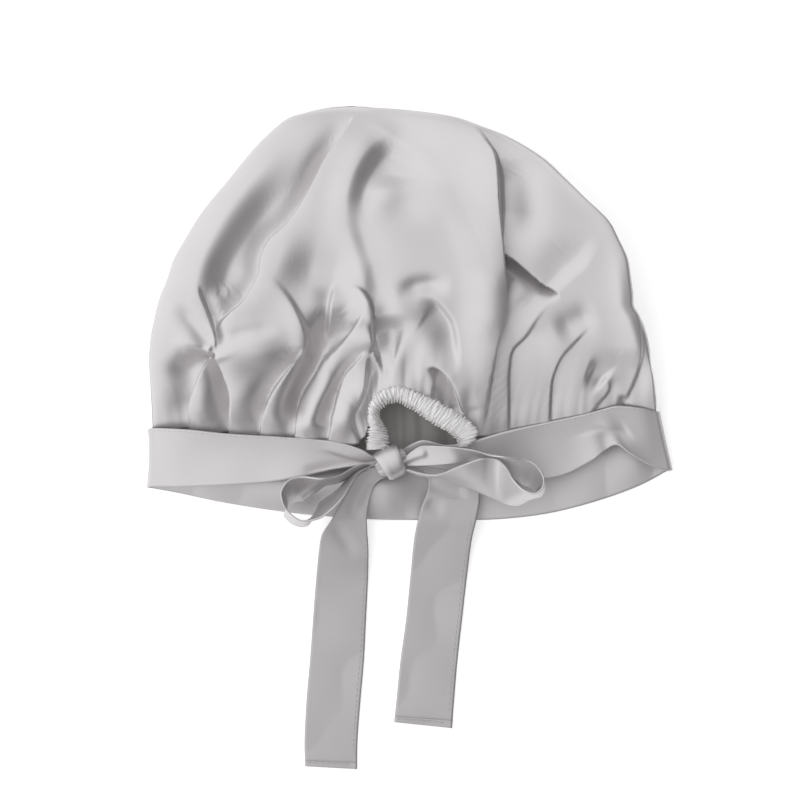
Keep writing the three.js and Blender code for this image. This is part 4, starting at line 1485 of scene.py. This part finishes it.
LEFT_LOOP = BowLoop(
    name="bow_loop_left_ribbon",
    node="bow_loop_left",
    bend=Bend(Body.CAP, Body.LEFT_LOOP, (-18.7, -76.31, 20.0), 203.0, 10.0),
    high=(
        (-15.7, -70.7), (-27.6, -73.8), (-36.7, -78.6), (-45.2, -80.6), (-56.6, -79.3), (-64.1, -81.2),
        (-68, -86.5), (-68, -91.4), (-65.7, -96.8), (-59.7, -102.1), (-54.6, -103.2), (-47.4, -101.6),
        (-42, -97.9), (-35.6, -91.5), (-31.3, -84.6), (-27.1, -78.2), (-20.6, -73.9),
    ),
    low=(
        (-15.8, -72.9, 13), (-26.6, -76.7, 13), (-35.3, -82.1, 13), (-43.4, -86.4, 13),
        (-55.4, -94, 13), (-60.8, -94, 13), (-64.6, -95.7, 12.5), (-66.5, -98.4, 12),
        (-66.8, -101.7, 12), (-60.8, -106.3, 11.5), (-54.3, -106, 11.5), (-50, -98.4, 12),
        (-47.8, -93.5, 12.5), (-39.6, -87.5, 13), (-33.7, -82.1, 13), (-28.2, -77.2, 13),
        (-20.1, -75, 13),
    ),
    widths=(6, 11, 21, 28, 29, 29, 29, 29, 29, 29, 29, 29, 29, 26, 20, 12, 6),
    creases=(
        roll(((-63.2, -98.1), (-52.3, -91), (-40.3, -82.8)), -1.6, 3, 0.2, 0.2),
        roll(((-58.9, -92.7), (-46.9, -87.2), (-37.1, -80.7)), -1.2, 3, 0.2, 0.2),
    ),
)

RIGHT_LOOP = BowLoop(
    name="bow_loop_right_ribbon",
    node="bow_loop_right",
    bend=Bend(Body.CAP, Body.RIGHT_LOOP, (-0.76, -67.94, 20.0), -9.0, 10.0),
    high=(
        (-3.3, -70.1), (5.4, -63.6), (11.9, -62.8), (23.7, -63.5), (35.5, -65.4), (44, -67.9),
        (50.9, -68.7), (62.3, -70.2), (67.6, -72.3), (71.4, -76.8), (72.9, -81.6), (71.8, -85.4),
        (67.8, -88.3), (64.3, -87.5), (60.6, -85.4), (56.3, -80.6), (53.1, -74.7), (48.9, -70.4),
        (43.5, -69.3), (37.6, -70.1), (26.6, -74.2), (15.9, -78.5), (6.5, -77.7), (-1.1, -75.6),
    ),
    low=(
        (-2.2, -73.9, 15), (6.5, -73.9, 17), (12.4, -73.7, 18), (23.8, -72.8, 19), (35.7, -70.6, 20),
        (44.4, -69.5, 20), (50.3, -72.8, 20), (60.6, -83.1, 20), (65.5, -85.2, 20), (68.7, -89, 20),
        (71.4, -89.6, 20), (71.4, -90.7, 20), (68.5, -90.9, 20), (64.4, -92.8, 20), (60.1, -95, 20),
        (55.2, -95, 20), (51.4, -93.9, 20), (48.2, -92.3, 20), (43.8, -90.7, 20), (37.9, -88, 20),
        (25.7, -83.6, 19), (16, -80.2, 17), (7, -79.4, 14.5), (-0.6, -76.7, 13.5),
    ),
    widths=(
        4.2, 10.5, 11, 10, 14, 24, 29, 29, 29, 29, 29, 29, 29, 29, 29, 28, 27, 26.5, 26, 24, 18, 9, 6, 5,
    ),
    creases=(
        roll(((-3.3, -71.9), (3.3, -68.7), (10.9, -66.5)), -1.2, 2, 0, 0.2),
    ),
)


@dataclass(frozen=True)
class Tie:
    """One tie below the knot: a gathered neck, then a tail that lies on the table."""

    side: str
    bend: Bend
    neck_left: Points3
    neck_right: Points3
    tail_left: Points3
    tail_right: Points3
    neck_folds: tuple[Fold, ...]
    tail_folds: tuple[Fold, ...]
    thickness: float = 0.7
    hem: float = 4.0
    hem_thickness: float = 0.6
    stitch_pitch: float = 3.0
    stitch_length: float = 2.2
    thread_radius: float = 0.2
    across: int = 26
    neck_stations: int = 60
    tail_stations: int = 200

    def _strip(self, left: Points3, right: Points3, count: int, folds: tuple[Fold, ...]) -> np.ndarray:
        """Builds a strip of tie between its two edges.

        Args:
            left: The left edge.
            right: The right edge.
            count: How many stations it has.
            folds: The folds in it.

        Returns:
            The strip's points, as stations by points across.
        """
        first, second = spline_pair(left, right, count)
        grid = ribbon_grid(first, second, self.across, np.zeros(count))
        height, _ = fold_field(grid[..., :2].reshape(-1, 2), folds)
        grid[..., 2] += height.reshape(grid.shape[:2])
        return grid

    def build(self) -> list[bpy.types.Object]:
        """Builds the ribbon from the knot to its hem, and its stitches.

        Returns:
            The pieces.
        """
        neck = self._strip(self.neck_left, self.neck_right, self.neck_stations, self.neck_folds)
        tail = self._strip(self.tail_left, self.tail_right, self.tail_stations, self.tail_folds)
        run = np.arange(self.tail_stations) / (self.tail_stations - 1)
        calm = smooth(run, 0, 0.2)[:, None]
        tail[..., 2] += np.abs(ripple(tail[..., :2], 0.5, 50, SEED + 8)) * calm
        whole = np.concatenate([neck[:-1], tail])
        ribbon = make_object(f"tie_{self.side}_ribbon", whole, grid_faces(*whole.shape[:2]))
        thicken(ribbon, self.thickness)
        pieces = [ribbon, self._hem(tail), self._edge(tail), self._hem_row(tail)]
        nodes = ("tie_tail", "tail_hem", "tail_edge_thread", "hem_thread")
        for piece, node, finish in zip(pieces, nodes, (TIE, TIE, THREAD, THREAD)):
            self.bend.settle(piece, finish, f"{node}_{self.side}")
        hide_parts(f"tie_neck_{self.side}")
        return pieces

    def _hem(self, tail: np.ndarray) -> bpy.types.Object:
        """Folds the tail's end over into a hem.

        Args:
            tail: The tail's points.

        Returns:
            The turned-up layer.
        """
        length = np.linalg.norm(tail[-1, 0] - tail[-2, 0])
        rows = max(3, round(self.hem / length))
        layer = tail[-rows:].copy()
        layer[..., 2] += self.thickness + 0.1
        piece = make_object(f"tail_hem_{self.side}_turn", layer, grid_faces(*layer.shape[:2]))
        thicken(piece, self.hem_thickness)
        return piece

    def _row(self, name: str, line: np.ndarray, height: float) -> bpy.types.Object:
        """Sews a row of stitches along a line, at a height above it.

        Args:
            name: The row's name.
            line: The line on the tail.
            height: How far above the line it lies.

        Returns:
            The row.
        """
        path = line + (0.0, 0.0, height)
        return stitches(
            f"{name}_{self.side}", path, self.stitch_pitch, self.stitch_length, self.thread_radius
        )

    def _edge(self, tail: np.ndarray) -> bpy.types.Object:
        """Sews the row of stitches down the tail's right edge."""
        return self._row("tail_edge_stitches", tail[20:-8:4, -3], self.thickness / 2 + 0.12)

    def _hem_row(self, tail: np.ndarray) -> bpy.types.Object:
        """Sews the row of stitches across the hem."""
        return self._row("hem_stitches", tail[-5, 1:-1:3], self.thickness * 1.5 + 0.6)


LEFT_TIE = Tie(
    side="left",
    bend=Bend(Body.LEFT_NECK, Body.LEFT_TAIL, (-31.69, -104.73, 9.45), -94.0, 22.0),
    neck_left=(
        (-16, -74.2, 11), (-20.1, -75.1, 11), (-26.1, -78.3, 11), (-29.9, -82.1, 10.8),
        (-33.1, -88.7, 10.4), (-36.4, -94.6, 10), (-39.7, -100.1, 9.6), (-42.4, -104.4, 9.4),
    ),
    neck_right=(
        (-10.3, -79.2, 11), (-12.5, -80.5, 11), (-15.2, -81.6, 11), (-18.5, -84.9, 10.8),
        (-20.4, -90.3, 10.4), (-21.5, -95.2, 10), (-22.1, -99.5, 9.6), (-22.4, -103.9, 9.4),
    ),
    tail_left=(
        (-42.4, -104.4, 9.4), (-46.8, -111.5, 8), (-48.4, -119.7, 6), (-50.1, -136.2, 1.4),
        (-51.8, -158, 0.5), (-53.4, -179.8, 0.5), (-55.3, -201.6, 0.5), (-56.4, -223.4, 0.5),
        (-56.1, -237.6, 0.5),
    ),
    tail_right=(
        (-22.4, -103.9, 9.4), (-22, -111.5, 8), (-21.5, -120.8, 6), (-21.8, -136.2, 1.4),
        (-22.9, -158, 0.5), (-24, -179.8, 0.5), (-25.9, -201.6, 0.5), (-27.5, -223.4, 0.5),
        (-27.8, -239.2, 0.5),
    ),
    neck_folds=(
        roll(((-13.1, -76.3), (-20.7, -81.8), (-27.3, -92.7), (-31.6, -103.6)), -0.8, 4, 0.2, 0.2),
        roll(((-10.9, -78.5), (-17.4, -83.9), (-22.9, -94.8), (-26.2, -103.6)), 0.6, 4, 0.2, 0.2),
    ),
    tail_folds=(
        roll(((-43.6, -103.6), (-36, -112.3), (-27.3, -125.4)), -0.9, 4, 0.4, 0.4),
    ),
)

RIGHT_TIE = Tie(
    side="right",
    bend=Bend(Body.RIGHT_NECK, Body.RIGHT_TAIL, (21.99, -91.52, 9.45), -97.0, 22.0),
    neck_left=(
        (0, -72.9, 10.4), (5.4, -75.1, 10.4), (9.8, -78.3, 10.4), (11.1, -82.7, 10.2), (10.6, -87, 9.9),
        (9.2, -91.4, 9.4),
    ),
    neck_right=(
        (2.2, -70.2, 10.4), (14.1, -72.9, 10.4), (26.1, -78.3, 10.4), (34.7, -83.8, 10.2),
        (38.6, -88.1, 9.9), (39.1, -92.5, 9.4),
    ),
    tail_left=(
        (9.2, -91.4, 9.4), (7.1, -96.8, 9), (5.4, -103.4, 8), (3.3, -114.3, 5), (1.1, -136.2, 1),
        (-1.1, -158, 0.5), (-4.1, -179.8, 0.5), (-6.3, -201.6, 0.5), (-7.6, -213.6, 0.5),
    ),
    tail_right=(
        (39.1, -92.5, 9.4), (38.3, -97.9, 9), (36.9, -104.5, 8), (34.5, -115.4, 5), (31.9, -136.2, 1),
        (29.4, -158, 0.5), (27, -179.8, 0.5), (25.1, -201.6, 0.5), (24, -216.9, 0.5),
    ),
    neck_folds=(
        roll(((8.7, -79.6), (15.3, -85), (24, -87.2), (32.7, -87.2)), -1.5, 4, 0.2, 0.2),
    ),
    tail_folds=(
        roll(((8.7, -92.7), (14.2, -95.9), (20.7, -97)), -1.2, 4, 0.4, 0.4),
    ),
)


@dataclass(frozen=True)
class Studio:
    """The floor, the light and the camera of the picture.

    Lengths are in metres, and the camera's sensor in millimetres. The light is the world's own. It
    has its full strength, key, towards key_way and fades to sky on the other side. The fading
    starts where the cosine to key_way is key_full, and it ends at key_edge.
    """

    distance: float = 3.0
    view_width: float = 0.436
    aim: tuple[float, float] = (-0.00436, -0.03815)
    sensor: float = 36.0
    floor_size: float = 30.0
    floor_glow: float = 0.5
    paper: str = "f6f6f6"
    key_way: tuple[float, float, float] = (-0.82, 0.17, 0.55)
    key_edge: float = -0.35
    key_full: float = 0.75
    key: float = 1.2
    sky: float = 0.03

    def camera(self) -> None:
        """Sets the camera straight above the bonnet, its back towards the top of the picture."""
        lens = bpy.data.cameras.new("camera")
        lens.sensor_width = self.sensor
        lens.lens = self.sensor * self.distance / self.view_width
        lens.clip_end = 50.0
        camera = bpy.data.objects.new("camera", lens)
        camera.location = (*self.aim, self.distance)
        bpy.context.scene.collection.objects.link(camera)
        bpy.context.scene.camera = camera

    def light(self) -> None:
        """Lights the bonnet by one very large soft light, from above and mostly from the left."""
        world = bpy.data.worlds.new("studio")
        bpy.context.scene.world = world
        world.use_nodes = True
        tree = world.node_tree
        tree.nodes.clear()
        way = add_node(tree, "ShaderNodeTexCoord").outputs["Generated"]
        facing = add_node(
            tree, "ShaderNodeVectorMath", {0: way, 1: self.key_way}, operation="DOT_PRODUCT"
        )
        level = add_node(
            tree,
            "ShaderNodeMapRange",
            {
                "Value": facing.outputs["Value"],
                "From Min": self.key_edge,
                "From Max": self.key_full,
                "To Min": self.sky,
                "To Max": self.key,
            },
            interpolation_type="SMOOTHSTEP",
        )
        sky = add_node(
            tree, "ShaderNodeBackground", {"Color": (1, 1, 1, 1), "Strength": level.outputs["Result"]}
        )
        add_node(tree, "ShaderNodeOutputWorld", {"Surface": sky.outputs["Background"]})

    def floor(self) -> None:
        """Lays a plain white floor that keeps a soft shadow.

        Its glow shows only in direct, mirrored and see-through views, so it adds no matt light.
        """
        half = self.floor_size / 2 / MM
        corners = [(-half, -half, 0), (half, -half, 0), (half, half, 0), (-half, half, 0)]
        floor = make_object("floor", np.array(corners), [(0, 1, 2, 3)])
        paint = bpy.data.materials.new("white paper backdrop")
        paint.use_nodes = True
        tree = paint.node_tree
        tree.nodes.clear()
        path = add_node(tree, "ShaderNodeLightPath").outputs
        seen = path["Is Camera Ray"]
        for ray in ("Is Glossy Ray", "Is Transmission Ray"):
            both = add_node(tree, "ShaderNodeMath", {0: seen, 1: path[ray]}, operation="MAXIMUM")
            seen = both.outputs[0]
        matt = add_node(tree, "ShaderNodeBsdfDiffuse", {"Color": hex_to_linear(self.paper)})
        glow = add_node(tree, "ShaderNodeEmission", {"Strength": self.floor_glow})
        white = add_node(
            tree, "ShaderNodeAddShader", {0: matt.outputs["BSDF"], 1: glow.outputs["Emission"]}
        )
        mix = add_node(
            tree,
            "ShaderNodeMixShader",
            {"Fac": seen, 1: matt.outputs["BSDF"], 2: white.outputs["Shader"]},
        )
        add_node(tree, "ShaderNodeOutputMaterial", {"Surface": mix.outputs["Shader"]})
        floor.data.materials.append(paint)


def main() -> None:
    """Builds the bonnet and its studio, piece by piece."""
    logging.basicConfig(level=logging.INFO, format="%(message)s")
    bpy.context.scene.view_settings.view_transform = "Standard"
    studio = Studio()
    studio.camera()
    HeadBand().build()
    Crown().build()
    Nape().build()
    Knot().build()
    LEFT_LOOP.build()
    RIGHT_LOOP.build()
    LEFT_TIE.build()
    RIGHT_TIE.build()
    studio.floor()
    studio.light()


if __name__ == "__main__":
    main()
